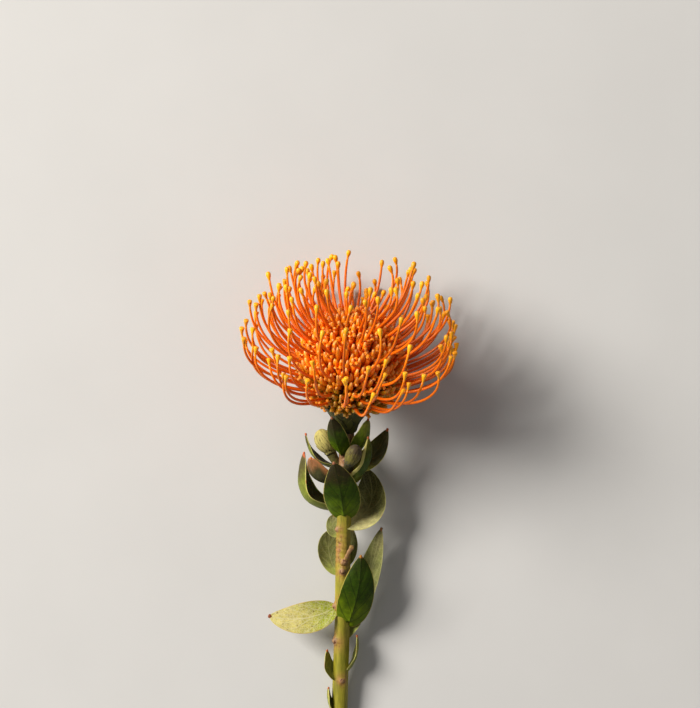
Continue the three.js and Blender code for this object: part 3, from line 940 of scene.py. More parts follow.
@dataclass
class Styles:
    """The long curved styles, each ending in a yellow pollen presenter."""

    plan: FloretPlan
    root: float = 0.95
    shaft: float = 0.76
    neck: float = 0.55
    sides: int = 8
    steps: int = 30
    knob_length: float = 4.1
    knob_radius: float = 1.22
    knob_sides: int = 12
    knob_stray: float = 0.08
    shaft_at: float = 0.35
    fine: int = 200
    cup_from: float = 1.25
    cup_to: float = 1.75
    cup_stray: float = 0.25
    nod_length: float = 13.0
    nod_depth: float = 2.6
    table_level: float = -0.4
    table_softness: float = 2.5
    table_rise: float = 7.0
    shares: Row = (1.3, 1.08, 0.92, 0.78, 0.64, 0.5, 0.37, 0.25, 0.14, 0.06, 0.02, 0.0)  # from its end
    egg: Row = (0.4, 0.44, 0.54, 0.7, 0.86, 0.96, 1.0, 0.97, 0.86, 0.64, 0.42, 0.16)  # of its radius
    goblet: Row = (0.4, 0.42, 0.47, 0.54, 0.64, 0.76, 0.88, 0.98, 1.04, 0.98, 0.78, 0.3)

    def nod(self, line: Array, floret: Floret) -> Array:
        """The line with its last stretch bent a little to one side, each style its own way.

        Args:
            line: The style's middle line as rows.
            floret: Its floret.

        Returns:
            The bent line, with as many points.
        """
        share = np.linspace(0, 1, len(line))[:, None]
        length = length_of(line)
        bend = np.maximum(share - 1 + self.nod_length / length, 0) ** 2 * length**2 / self.nod_length
        in_or_out = self.plan.head.outward(floret.turn)
        sway = self.nod_depth * jitter(floret.number, Stray.NOD_ASIDE) * self.plan.sideways(floret)
        sway = sway + self.nod_depth * jitter(floret.number, Stray.NOD_OUT) * in_or_out
        return even(line + bend / self.nod_length * sway, len(line))

    def on_table(self, line: Array, clear: Array) -> Array:
        """The line bent so that it lies along the table at the height clear and doesn't pass into it.

        Args:
            line: The style's middle line as rows.
            clear: The least height of each of its points.

        Returns:
            The bent line, with as many points.
        """
        edge = self.table_level + self.table_softness
        z = line[:, 2]
        bent = self.table_level + self.table_softness * np.exp(np.minimum(z - edge, 0) / self.table_softness)
        lifted = line.copy()
        lifted[:, 2] = np.maximum(np.where(z < edge, bent, z), clear)
        return lifted

    def build(self) -> None:
        """Makes the styles and the presenters, one mesh each."""
        rods, knobs = MeshDraft(), MeshDraft()
        shares, egg, goblet = (np.array(values) for values in (self.shares, self.egg, self.goblet))
        for floret in self.plan.florets():
            if not floret.styled:
                continue
            i = floret.number
            angle = floret.angle + self.cup_stray * jitter(i, Stray.KNOB_CUP)
            cupped = smooth(angle, self.cup_from, self.cup_to)
            line = self.nod(self.plan.style_line(floret, self.fine), floret)
            run = np.linspace(0, length_of(line), len(line))
            size = 1 + self.knob_stray * jitter(i, Stray.KNOB_SIZE)
            neck = run[-1] - self.knob_length * size
            rising = smooth(run, neck - self.table_rise, neck)
            line = self.on_table(line, self.neck + rising * (self.knob_radius * size - self.neck))
            side = self.plan.sideways(floret)
            values = {"shade": jitter(i, Stray.STYLE_SHADE), "green": 0.0}
            at = np.linspace(0, neck, self.steps)
            radii = np.interp(at / run[-1], [0, self.shaft_at, 1], [self.root, self.shaft, self.neck])
            rods.rod(points_at(at, run, line), radii, side, self.sides, along=at / run[-1], **values)
            points = points_at(run[-1] - shares * self.knob_length * size, run, line)
            radii = (egg + cupped * (goblet - egg)) * self.knob_radius * size
            knobs.rod(points, radii, side, self.knob_sides, along=1 - shares / shares[0], **values)
        rods.build("styles", STYLE_FINISH, "floret", "flower_head")
        knobs.build("pollen_presenters", PRESENTER_FINISH, "floret", "flower_head")


@dataclass
class Perianths:
    """The florets' tubes, which lean to the head's top: split into curled limbs, or still closed as clubs."""

    plan: FloretPlan
    foot: float = 13.5
    mouth: float = 24.0
    closed_mouth: float = 26.8
    angle: Row = (0, 20, 45, 70, 95, 120, 148)  # degrees from the head's axis
    tilt: Row = (0, 14, 36, 56, 74, 70, 44)  # degrees towards the axis
    bend: float = 6.5
    longer: float = 0.9
    low_from: float = math.radians(84)
    low_to: float = math.radians(112)
    lowest_foot: float = math.radians(137)
    tube: Row = (0.9, 0.9, 0.95, 1.05, 1.2, 1.4)
    club: Row = (0.85, 0.85, 0.9, 0.96, 1.06, 1.22, 1.4, 1.5, 1.44, 1.15, 0.6)
    cleft: Row = (0, 0, 0, 0, 0, 0.03, 0.06, 0.1, 0.18, 0.3, 0.4)
    limbs: int = 4
    limb_width: Row = (0.98, 0.9, 0.84, 0.88, 0.98, 0.6)
    limb_flatness: float = 0.5
    limb_lean: float = 14.0  # degrees, give or take as much
    limb_turn_stray: float = 0.35
    inset: float = 0.5
    straight: float = 1.9
    straight_stray: float = 0.5
    curl_radius: float = 0.8
    curl_stray: float = 0.3
    curl_shrink: float = 0.25
    sweep: float = 190.0  # degrees
    sweep_stray: float = 70.0
    tilt_stray: float = 8.0
    mouth_stray: float = 1.9
    sway: float = 0.14
    foot_follows: float = 0.55
    tube_to: float = 0.55  # the place along the floret where the tube's colour ends,
    limb_from: float = 0.5  # where the limbs' begins
    club_to: float = 0.95  # and where a closed one's ends
    greenest: float = 0.95
    club_fade: float = 0.6
    # how far down the head the florets turn yellow-green: partly their own paler bases, partly painted light
    green_from: float = math.radians(70)
    green_to: float = math.radians(112)

    def limb(self, mouth: Array, up: Array, out: Array, number: int) -> Array:
        """The middle line of one limb.

        Args:
            mouth: The middle of the tube's mouth.
            up: The direction in which the tube points.
            out: The direction away from the tube's middle.
            number: The limb's own number for its stray.

        Returns:
            The points as rows: a straight stretch that leans out and then a curl.
        """
        lean = math.radians(self.limb_lean + self.limb_lean * jitter(number, Stray.LIMB_LEAN))
        straight = self.straight * (1 + self.straight_stray * jitter(number, Stray.LIMB_LENGTH))
        curl = self.curl_radius * (1 + self.curl_stray * jitter(number, Stray.LIMB_CURL))
        sweep = math.radians(self.sweep + self.sweep_stray * jitter(number, Stray.LIMB_SWEEP))
        rise = np.linspace(0, straight, 4)[:-1, None]
        start = mouth + out * (self.tube[-1] - self.inset)
        forward = up * math.cos(lean) + out * math.sin(lean)
        outward = out * math.cos(lean) - up * math.sin(lean)
        turn = np.linspace(0, sweep, 9)[:, None]
        shrink = 1 - self.curl_shrink * turn / sweep
        hook = outward * (1 - np.cos(turn)) + forward * np.sin(turn)
        return np.concatenate([start + forward * rise, start + forward * straight + shrink * curl * hook])

    def tube_line(self, floret: Floret, reach: float, count: int) -> Array:
        """The middle line of a floret's tube.

        Args:
            floret: The floret.
            reach: How far its mouth is from the head's middle.
            count: How many points to return.

        Returns:
            The points as rows. The line leaves the core straight out and turns towards the head's top.
        """
        i, head = floret.number, self.plan.head
        tilt = float(np.interp(math.degrees(floret.angle), self.angle, self.tilt))
        tilt = math.radians(tilt + self.tilt_stray * jitter(i, Stray.TUBE_TILT))
        low = float(smooth(floret.angle, self.low_from, self.low_to))
        reach = reach + self.longer * low + self.mouth_stray * jitter(i, Stray.TUBE_REACH)
        sine, cosine = math.sin(floret.angle), math.cos(floret.angle)
        mouth = head.place(reach * sine, reach * cosine, floret.turn)
        to_top = head.axis * sine - head.outward(floret.turn) * cosine
        up = unit(mouth - head.middle) * math.cos(tilt) + to_top * math.sin(tilt)
        up = unit(up + self.sway * jitter(i, Stray.TUBE_SWAY) * self.plan.sideways(floret))
        below = min(floret.angle + self.foot_follows * tilt, self.lowest_foot)
        foot = head.place(self.foot * math.sin(below), self.foot * math.cos(below), floret.turn)
        return bezier([foot, mouth - self.bend * up, mouth], count)

    def build(self) -> None:
        """Makes all the tubes and limbs, the open ones and the closed ones as a mesh each."""
        open_ones, closed_ones = MeshDraft(), MeshDraft()
        for floret in self.plan.florets():
            shade = jitter(floret.number, Stray.TUBE_SHADE)
            green = self.greenest * float(smooth(floret.angle, self.green_from, self.green_to))
            if floret.closed:
                self.add_closed(closed_ones, floret, shade, green)
            else:
                self.add_open(open_ones, floret, shade, green)
        open_ones.build("perianths_open", PERIANTH_FINISH, "floret", "flower_head")
        closed_ones.build("perianths_closed", PERIANTH_FINISH, "floret", "flower_head")

    def add_closed(self, draft: MeshDraft, floret: Floret, shade: float, green: float) -> None:
        """Adds the club of a closed floret.

        Args:
            draft: The mesh to add it to.
            floret: The floret.
            shade: How much lighter or darker it is, from -1 to 1.
            green: How green it is, from 0 to 1.
        """
        line = self.tube_line(floret, self.closed_mouth, len(self.club))
        along = np.linspace(0.0, self.club_to, len(line))
        radii, cleft = np.array(self.club), np.array(self.cleft)
        values = {"along": along, "shade": shade, "green": green * (1 - self.club_fade * along**3)}
        draft.rod(line, radii, self.plan.sideways(floret), 8, 1.0, cleft, **values)

    def add_open(self, draft: MeshDraft, floret: Floret, shade: float, green: float) -> None:
        """Adds the tube and the curled limbs of an open floret.

        Args:
            draft: The mesh to add them to.
            floret: The floret.
            shade: How much lighter or darker it is, from -1 to 1.
            green: How green it is, from 0 to 1.
        """
        side = self.plan.sideways(floret)
        line = self.tube_line(floret, self.mouth, len(self.tube))
        along = np.linspace(0, self.tube_to, len(line))
        draft.rod(line, np.array(self.tube), side, 9, along=along, shade=shade, green=green)
        up = unit(line[-1] - line[-2])
        outer = unit(np.cross(up, side))
        for k in range(self.limbs):
            number = floret.number * self.limbs + k
            turn = 2 * math.pi * (k + 0.5) / self.limbs
            turn = turn + self.limb_turn_stray * jitter(number, Stray.LIMB_TURN)
            out = side * math.cos(turn) + outer * math.sin(turn)
            limb = self.limb(line[-1], up, out, number)
            along = np.linspace(self.limb_from, 1.0, len(limb))
            radii = np.interp(along, np.linspace(self.limb_from, 1.0, len(self.limb_width)), self.limb_width)
            tone = shade * 0.6 + 0.4 * jitter(number, Stray.LIMB_SHADE)
            values = {"along": along, "shade": tone, "green": green * (1 - along)}
            draft.rod(limb, radii, np.cross(up, out), 6, self.limb_flatness, **values)


@dataclass
class Core:
    """The dark middle of the head that the florets stand on, seen only between them; its darkness is partly
    painted shade.
    """

    head: HeadFrame
    radius: float = 19.4
    rows: int = 72
    columns: int = 120
    bump: float = 0.55
    knobs_down: float = 38.0
    knobs_round: float = 26.0
    twist: float = 9.0
    red_to: float = 1.7
    green_from: float = 2.6

    def build(self) -> None:
        """Makes a ball with small knobs all over."""
        angle = np.linspace(0.02, math.pi - 0.02, self.rows)[:, None]
        turn = np.linspace(0, 2 * math.pi, self.columns + 1)[None, :-1]
        knobs = np.sin(angle * self.knobs_down) * np.sin(turn * self.knobs_round + angle * self.twist)
        radius = self.radius + self.bump * knobs
        head = self.head
        flat = np.sin(angle) * np.cos(turn)
        deep = np.sin(angle) * np.sin(turn)
        high = np.cos(angle) * np.ones_like(turn)
        away = flat[..., None] * head.right + deep[..., None] * head.front + high[..., None] * head.axis
        corners = (head.middle + radius[..., None] * away).reshape(-1, 3)
        number = np.arange(self.rows * self.columns).reshape(self.rows, self.columns)
        after = np.roll(number, -1, axis=1)
        quads = np.stack([number[:-1], after[:-1], after[1:], number[1:]], axis=-1)
        ends = []
        for row, flip in ((0, -1), (self.rows - 1, 1)):
            ring = number[row][::flip]
            ends += [[ring[0], ring[k], ring[k + 1]] for k in range(1, self.columns - 1)]
        draft = MeshDraft()
        along = np.broadcast_to(1 - smooth(angle, self.red_to, self.green_from), knobs.shape).ravel()
        # painted shade: the hollows between the knobs are darker
        draft.add(corners, quads, np.array(ends), along=along, shade=knobs.ravel() * 0.6, green=0.0)
        draft.build("floret_core", CORE_FINISH, "floret", "flower_head")


# ---------------------------------------------------------------- bracts and buds


@dataclass
class RoundBody:
    """A round body on an axis, from its outline: distances from the axis and heights along it, foot first."""

    foot: Array
    along: Array
    side: Array
    outline: Array

    def __post_init__(self) -> None:
        """Measures the outline."""
        self.up = np.cross(self.side, self.along)
        steps = np.linalg.norm(np.diff(self.outline, axis=0), axis=1)
        self.run = np.concatenate([[0], np.cumsum(steps)])
        slope = unit(np.gradient(self.outline, axis=0))
        self.outside = np.stack([slope[:, 1], -slope[:, 0]], axis=1)

    def read(self, run: Array, values: Array) -> Array:
        """One of the outline's lists of numbers at lengths along it."""
        return np.interp(run, self.run, values)

    def point(self, run: Array, turn: Array, proud: Array) -> Array:
        """Points over the surface.

        Args:
            run: Lengths along the outline from the foot.
            turn: Angles round the axis.
            proud: How far each point stands off the surface.

        Returns:
            The points.
        """
        out = self.read(run, self.outline[:, 0]) + proud * self.read(run, self.outside[:, 0])
        high = self.read(run, self.outline[:, 1]) + proud * self.read(run, self.outside[:, 1])
        away = np.cos(turn)[..., None] * self.side + np.sin(turn)[..., None] * self.up
        return self.foot + out[..., None] * away + high[..., None] * self.along

    def add_core(self, draft: MeshDraft, sunk: float, **values: float) -> None:
        """Adds the plain body, sunk below its surface.

        Args:
            draft: The mesh to add it to.
            sunk: How deep it lies.
            values: The values on its corners.
        """
        rows, sides = 40, 32
        run = np.linspace(0, self.run[-1], rows)[:, None] * np.ones(sides)
        turn = np.ones((rows, 1)) * -circle(sides)
        rings = self.point(run, turn, np.full(run.shape, -sunk))
        draft.skin(rings, (rings[0].mean(axis=0), rings[-1].mean(axis=0)), **values)


@dataclass(frozen=True)
class Scales:
    """Overlapping pointed bracts all over a round body, in spiral rows."""

    count: int
    length: float
    width: float
    lift: float = 0.5
    first: float = 0.0
    last: float = 1.0
    thick: float = 0.22
    size_stray: float = 0.15
    turn_stray: float = 0.1
    lift_stray: float = 0.5
    hidden: float = 0.45
    bowed: float = 0.06
    domed: float = 0.1
    widest_turn: float = 1.4
    rows: int = 8
    columns: int = 7

    def add(self, draft: MeshDraft, body: RoundBody, series: int) -> None:
        """Adds the bracts.

        Args:
            draft: The mesh to add them to.
            body: What they cover.
            series: The number of the first of their four series of strays.
        """
        whole = body.run[-1]
        fine = np.linspace(self.first, self.last, 200) * whole
        area = np.cumsum(np.maximum(body.read(fine, body.outline[:, 0]), 0.4))
        area /= area[-1]
        t = np.linspace(0, 1, self.rows)[:, None] * np.ones(self.columns)
        u = np.linspace(-1, 1, self.columns)[None, :] * np.ones((self.rows, 1))
        for i in range(self.count):
            at = np.interp((i + 0.5) / self.count, area, fine)
            size = 1 + self.size_stray * jitter(i, series)
            round_body = max(float(body.read(at, body.outline[:, 0])), 0.8)
            width = min(self.width, 2.6 * round_body) * size
            half = 0.5 * width * np.minimum(1, 1.6 * np.sqrt(1.02 - t)) * (1 - t**3) + 0.02
            run = np.clip(at + self.length * size * (t - self.hidden - self.bowed * u * u), 0, whole)
            radius = np.maximum(body.read(run, body.outline[:, 0]), 0.5)
            aside = np.clip(u * half / radius, -self.widest_turn, self.widest_turn)
            turn = i * GOLDEN_ANGLE + self.turn_stray * jitter(i, series + 1) + aside
            lift = self.lift * (t**1.5) * (1 + self.lift_stray * jitter(i, series + 2))
            proud = lift + self.domed * (1 - u * u)
            thick = self.thick * (1 - 0.5 * np.abs(u)) * (1 - 0.5 * t)
            upper = body.point(run, turn, proud + thick)
            lower = body.point(run, turn, proud - thick)
            draft.blade(lower, upper, along=t, across=u, shade=jitter(i, series + 3), high=at / whole)


@dataclass
class BractCup:
    """The cup of small downy bracts under the florets."""

    head: HeadFrame
    profile: Outline = (
        (5.6, -36.4), (6.1, -33.6), (7.4, -30.0), (9.2, -27.0),
        (11.6, -24.0), (14.2, -21.6), (16.6, -19.0),
    )
    scales: Scales = Scales(count=60, length=10.5, width=5.6, lift=0.35, last=0.95)
    series: int = 21

    def build(self) -> None:
        """Makes the cup as one mesh."""
        head = self.head
        fine = np.linspace(0, len(self.profile) - 1, 50)
        outline = np.stack([np.interp(fine, range(len(self.profile)), v) for v in zip(*self.profile)], axis=1)
        body = RoundBody(head.middle, head.axis, head.right, outline)
        draft = MeshDraft()
        # painted shade: the body under the bracts is coloured towards the deep end and darkened, as shade in
        # the gaps between them
        body.add_core(draft, 0.1, along=0.1, across=0.0, shade=-0.5, upper=1.0, high=0.0)
        self.scales.add(draft, body, self.series)
        draft.build("bract_cup_scales", CUP_FINISH, "bract", "bract_cup")


@dataclass
class SideBud:
    """A young flower head on its stalk, covered with bracts."""

    name: str
    foot: Point
    top: Point
    radius: float
    finish: Finish
    series: int
    egg: float = 0.58
    stalk: Outline = ((-0.08, 1.9), (0.12, 2.0), (0.34, 2.6), (0.5, 3.0))  # share of the length, radius
    scales: Scales = Scales(count=92, length=5.6, width=2.5, lift=0.25, first=0.52, last=0.99, thick=0.2)

    def build(self) -> None:
        """Makes the bud as one mesh."""
        foot, along = np.array(self.foot), np.array(self.top) - np.array(self.foot)
        length = float(np.linalg.norm(along))
        along = along / length
        side = unit(np.cross(along, UPWARD))
        half = length * self.egg / 2
        start = self.stalk[0][0] * length
        fall = np.linspace(0, math.pi, 80)
        high = start + (length - start) * 0.5 * (1 - np.cos(fall))
        wide = np.interp(high, *zip(*[(share * length, radius) for share, radius in self.stalk]))
        level = np.clip((high - (length - half)) / half, -1, 1)
        wide = np.where(high > self.stalk[-1][0] * length, 0, wide)
        outline = np.stack([np.maximum(self.radius * np.sqrt(1 - level**2), wide), high], axis=1)
        body = RoundBody(foot, along, side, outline)
        draft = MeshDraft()
        # painted shade: the body under the bracts is coloured towards the deep end and darkened, as shade in
        # the gaps between them
        body.add_core(draft, 0.1, along=0.07, across=0.0, shade=-0.2, upper=1.0, high=0.0)
        self.scales.add(draft, body, self.series)
        draft.build(f"{self.name}_scales", self.finish, "bud", self.name)


# ---------------------------------------------------------------- the stem


@dataclass(frozen=True)
class Knot:
    """A swelling with the scar of a leaf: place along +Y, angle round the stem from the right, size."""

    y: float
    turn: float
    size: float


@dataclass
class Stem:
    """The stem from its slanted cut to the neck under the head."""

    path: tuple[Row, ...] = (
        (-5.9, -208, 4.0, 4.0),
        (-5.4, -196, 4.0, 4.0),
        (-4.7, -177, 5.4, 4.0),
        (-3.6, -143, 9.8, 3.9),
        (-3.3, -123, 13.0, 3.8),
        (-2.9, -95.5, 17.4, 3.7),
        (-2.2, -70, 21.8, 3.6),
        (-1.4, -50, 25.4, 3.7),
        (-1.3, -35.3, 29.2, 4.3),
    )  # x, y, z and radius
    knots: tuple[Knot, ...] = (
        Knot(-165, 80, 1.3),
        Knot(-145, 150, 2.0),
        Knot(-127.5, 170, 1.9),
        Knot(-109, 95, 1.7),
        Knot(-104, 75, 1.5),
        Knot(-88, 150, 1.6),
        Knot(-57, 120, 2.2),
        Knot(-56.5, 50, 2.2),
        Knot(-53, 98, 1.4),
        Knot(-50.5, 126, 1.2),
        Knot(-100, 260, 1.5),
        Knot(-140, 300, 1.5),
    )
    spur: tuple[Point, ...] = ((-2.2, -104, 19.6), (1.6, -96.4, 24.6))
    spur_radius: float = 1.25
    spur_outline: Outline = (
        (-0.25, 1.4), (-0.1, 1.3), (0.05, 1.02), (0.16, 0.82), (0.28, 1.02), (0.38, 0.78), (0.5, 0.76),
        (0.6, 0.98), (0.7, 0.82), (0.8, 0.95), (0.88, 1.16), (0.95, 1.05), (1.0, 0.66),
    )  # share of the length, radius
    spur_sides: int = 20
    spur_bend: float = 0.14
    spur_waves: float = 9.0
    spur_bands: float = 31.0
    spur_grooves: float = 0.16
    spur_blush: float = 0.55
    slant: float = 0.45
    sides: int = 40
    rows: int = 320
    blush_from: float = -112.0
    blush_to: float = -82.0
    blush_turn: float = math.radians(140)
    blush_width: float = 0.85
    crust_from: float = -66.0
    crust_scar: float = 0.6
    swelling: float = 0.9  # the width of a knot's swelling as a share of its size, as are the next four
    scar_width: float = 0.95
    knot_blush: float = 2.4
    groove_at: float = 0.62
    groove_width: float = 0.16
    groove_depth: float = 0.22
    cut_dome: float = 0.35
    cut_rows: int = 16

    def rings(self) -> tuple[Array, dict[str, Array]]:
        """The stem's rings of corners and the values on them.

        Returns:
            The corners, ring by ring, and for each name the values on them.
        """
        path = np.array(self.path)
        line, radius = self.centreline(path)
        along = unit(np.gradient(line, axis=0))
        up = unit(np.cross(TO_RIGHT, along))
        side = np.cross(along, up)
        turn = circle(self.sides)[None, :]
        y = line[:, 1:2]
        scar, blush = np.zeros((self.rows, self.sides)), np.zeros((self.rows, self.sides))
        out = radius[:, None] + 0.07 * np.sin(5 * turn + 0.05 * y) + 0.05 * np.sin(9 * turn - 0.11 * y)
        for knot in self.knots:
            round_by = (turn - math.radians(knot.turn) + math.pi) % (2 * math.pi) - math.pi
            far = np.hypot(round_by * radius[:, None], y - knot.y)
            over = np.arctan2(y - knot.y, round_by * radius[:, None])
            out = out + (knot.size - 0.3) * hill(far / (self.swelling * knot.size))
            ring = hill((far / knot.size - self.groove_at) / self.groove_width)
            ring = ring * (0.62 + 0.38 * np.sin(over + 5 * knot.size))
            out = out - self.groove_depth * ring
            scar = np.maximum(scar, 0.5 * hill(far / (self.scar_width * knot.size), 4) + 0.5 * ring)
            blush = np.maximum(blush, 0.9 * hill(far / (self.knot_blush * knot.size)))
        ringed = smooth(y, self.blush_from, self.blush_from + 12)
        ringed = ringed * (1 - smooth(y, self.blush_to - 12, self.blush_to))
        out = out + 0.1 * ringed * np.sin(2.4 * y + 0.6 * np.sin(turn * 2))
        patchy = 0.15 + 0.85 * hill((turn - self.blush_turn) / self.blush_width)
        blush = np.maximum(blush, ringed * patchy)
        crust = smooth(y, self.crust_from, self.crust_from + 5) * np.ones_like(scar)
        blush, scar = np.maximum(blush, crust), np.maximum(scar, self.crust_scar * crust)
        ring = np.cos(turn)[..., None] * side[:, None] + np.sin(turn)[..., None] * up[:, None]
        corners = line[:, None] + out[..., None] * ring
        lean = np.exp(-(line[:, 1] - line[0, 1]) / 2.0)[:, None]
        corners[..., 1] += lean * self.slant * (corners[..., 2] - radius[0])
        corners[..., 2] = np.maximum(corners[..., 2], 0)
        return corners, {"scar": scar, "blush": blush}

    def centreline(self, path: Array) -> tuple[Array, Array]:
        """The stem's middle line through the points of the path, and its radius there.

        Args:
            path: The x, y, z and radius at each point of the path.

        Returns:
            The line as rows, and the radius at each of its points.
        """
        keys = path[:, 1]
        y = np.linspace(keys[0], keys[-1], self.rows)
        slope = np.gradient(path, keys, axis=0)
        k = np.clip(np.searchsorted(keys, y, "right") - 1, 0, len(keys) - 2)
        gap = keys[k + 1] - keys[k]
        t = ((y - keys[k]) / gap)[:, None]
        gap = gap[:, None]
        bend = (2 * t**3 - 3 * t**2 + 1) * path[k] + (t**3 - 2 * t**2 + t) * gap * slope[k]
        bend = bend + (-2 * t**3 + 3 * t**2) * path[k + 1] + (t**3 - t**2) * gap * slope[k + 1]
        return bend[:, :3], bend[:, 3]

    def build(self) -> None:
        """Makes the stem with its spur, and the face of the cut."""
        rings, values = self.rings()
        draft = MeshDraft()
        foot, neck = rings[0].mean(axis=0), rings[-1].mean(axis=0)
        draft.skin(rings[:, ::-1], (foot, neck), **{name: v[:, ::-1] for name, v in values.items()})
        self.add_spur(draft)
        draft.build("stem_bark", StemFinish("stem_bark"), "stem", "stem")
        self.build_cut(rings[0], foot)

    def add_spur(self, draft: MeshDraft) -> None:
        """Adds the short side shoot that was cut off.

        Args:
            draft: The mesh to add it to.
        """
        start, end = (np.array(p) for p in self.spur)
        shares = np.array(self.spur_outline)
        bend = np.sin(shares[:, :1] * self.spur_waves)
        line = start + shares[:, :1] * (end - start) + self.spur_bend * bend * np.array([1.0, 0.3, 0.0])
        radii = self.spur_radius * shares[:, 1]
        scar = 0.42 + 0.34 * np.sin(shares[:, 0] * self.spur_bands)
        values = {"scar": scar, "blush": self.spur_blush}
        draft.rod(line, radii, TO_RIGHT, self.spur_sides, 1.0, self.spur_grooves, **values)

    def build_cut(self, rim: Array, middle: Array) -> None:
        """Makes the face of the cut, a little domed in front of the bark's end.

        Args:
            rim: The bark's first ring.
            middle: The middle of that ring.
        """
        shares = np.linspace(1.0, 0.04, self.cut_rows)[:, None]
        turn = circle(self.sides)[None, :] * np.ones_like(shares)
        face = middle + shares[..., None] * (rim - middle)
        face[..., 1] -= 0.12 + self.cut_dome * (1 - shares**4) + 0.05 * np.sin(turn * 7) * shares
        back = rim[None] + np.array([0, 0.3, 0])
        rings = np.concatenate([back, face])
        out = np.concatenate([[[1.0]], shares]) * np.ones_like(turn[:1])
        draft = MeshDraft()
        ends = (back[0].mean(axis=0), face[-1].mean(axis=0))
        draft.skin(rings, ends, out=out, turn=np.concatenate([turn[:1], turn]))
        draft.build("stem_cut_face", CutFinish("cut_wood"), "stem", "stem")


# ---------------------------------------------------------------- leaves


class Tone(Enum):
    """The greens of the leaves, from their age and the side that they show, and in four of them from painted
    light: the two darkest are darkened with painted shade, the cream-footed one has a painted pool of light
    on its foot under a painted shadow, and the pale green one is lightened with painted light.
    """

    # painted shade: this deep green is darkened to stand for the shade on a leaf that faces away from the
    # lamp; its lighter foot is partly the leaf's own yellower base and partly painted light
    DEEP_SHADED = LeafFinish(
        "leaf_painted_shade_deep", upper=(0.024, 0.048, 0.002), under=(0.024, 0.05, 0.001), foot=(0.1, 0.15, 0.002),
        foot_to=0.42, crown=(0.02, 0.034, 0.001), vein=(0.008, 0.016, 0.0005), veins=0.75, net=0.15,
        tip=(0.42, 0.17, 0.03), rim=(0.36, 0.3, 0.05),
    )
    # painted shade: this dusky green is darkened to stand for the shade on leaves that face away from the
    # lamp; its lighter foot is partly the leaf's own yellower base and partly painted light
    DUSKY_SHADED = LeafFinish(
        "leaf_painted_shade_dusky", upper=(0.024, 0.042, 0.002), under=(0.026, 0.052, 0.001), foot=(0.09, 0.15, 0.002),
        foot_to=0.4, crown=(0.02, 0.016, 0.004), crown_from=0.62, vein=(0.009, 0.015, 0.0005), veins=0.6,
        net=0.2, tip=(0.3, 0.12, 0.06), rim=(0.3, 0.26, 0.06),
    )
    RUSSET = LeafFinish(
        "leaf_russet", upper=(0.05, 0.045, 0.014), under=(0.055, 0.052, 0.018), foot=(0.08, 0.08, 0.02),
        crown=(0.3, 0.125, 0.05), crown_from=0.84, vein=(0.03, 0.03, 0.01), tip=(0.5, 0.16, 0.05), veins=0.4,
        rim=(0.32, 0.13, 0.045), rim_from=0.55, rim_to=0.95,
    )
    OLIVE = LeafFinish(
        "leaf_olive", upper=(0.045, 0.045, 0.008), under=(0.17, 0.2, 0.02), foot=(0.2, 0.22, 0.02),
        crown=(0.07, 0.06, 0.015), vein=(0.12, 0.12, 0.03), tip=(0.5, 0.12, 0.04), rim=(0.46, 0.42, 0.12),
    )
    GREYISH = LeafFinish(
        "leaf_greyish", upper=(0.17, 0.18, 0.05), under=(0.22, 0.23, 0.07), foot=(0.28, 0.32, 0.06),
        crown=(0.13, 0.12, 0.045), crown_from=0.8, vein=(0.4, 0.38, 0.16), veins=0.5, net=0.5,
        tip=(0.3, 0.14, 0.06), rim=(0.5, 0.48, 0.18),
    )
    # painted light and shade: the pale cream foot is a painted pool of light on the leaf's inner face, and
    # the dark upper part is a painted shadow of the leaves above it
    LIT_FOOT_SHADOWED_TOP = LeafFinish(
        "leaf_painted_lit_foot_shadowed_top", upper=(0.1, 0.1, 0.026), under=(0.15, 0.16, 0.04), foot=(0.5, 0.46, 0.2),
        foot_to=0.5, crown=(0.06, 0.055, 0.016), crown_from=0.8, vein=(0.34, 0.32, 0.13), veins=0.5, net=0.5,
        tip=(0.3, 0.14, 0.06), rim=(0.4, 0.38, 0.13),
    )
    EDGED = LeafFinish(
        "leaf_edged", upper=(0.05, 0.085, 0.004), under=(0.05, 0.09, 0.004), foot=(0.2, 0.24, 0.02),
        crown=(0.09, 0.1, 0.008), vein=(0.03, 0.045, 0.002), rim=(0.56, 0.5, 0.15), rim_from=0.72, rim_to=0.8,
    )
    # painted light: these greens are lightened to stand for light on small low leaves whose faces turn away
    # from the lamp
    PALE_LIT = LeafFinish(
        "leaf_painted_light_green", upper=(0.25, 0.26, 0.045), under=(0.2, 0.23, 0.03), foot=(0.3, 0.32, 0.05),
        crown=(0.22, 0.2, 0.03), vein=(0.34, 0.34, 0.08), rim=(0.52, 0.48, 0.14), rim_from=0.86, rim_to=0.94,
    )
    FRESH = LeafFinish(
        "leaf_fresh", upper=(0.15, 0.2, 0.016), under=(0.12, 0.18, 0.01), foot=(0.24, 0.28, 0.02),
        crown=(0.16, 0.16, 0.02), vein=(0.26, 0.3, 0.05), rim=(0.52, 0.46, 0.12),
    )
    YELLOW = LeafFinish(
        "leaf_yellow", upper=(0.42, 0.39, 0.08), under=(0.38, 0.36, 0.09), foot=(0.32, 0.36, 0.03),
        foot_to=0.4, crown=(0.5, 0.43, 0.13), crown_from=0.5, vein=(0.66, 0.62, 0.36), veins=0.65, net=0.85,
        specks=0.8, rim=(0.5, 0.36, 0.1), tip=(0.24, 0.07, 0.03),
    )


@dataclass(frozen=True)
class Leaf:
    """One leaf: the middle of its base, its tip, its midrib's bow, where its upper face looks, its shape."""

    name: str
    base: Point
    tip: Point
    bow: Point
    face: Point
    width: float
    cup: float
    lobe: float
    tone: Tone
    fullness: float = 0.5
    taper: float = 0.7
    callus: float = 1.0

    def build(self, number: int) -> None:
        """Makes the leaf as one mesh.

        Args:
            number: Its number for the strays of its margin.
        """
        draft = MeshDraft()
        BladeMaker().add(draft, self, number)
        draft.build(f"{self.name}_blade", self.tone.value, "leaf", self.name)


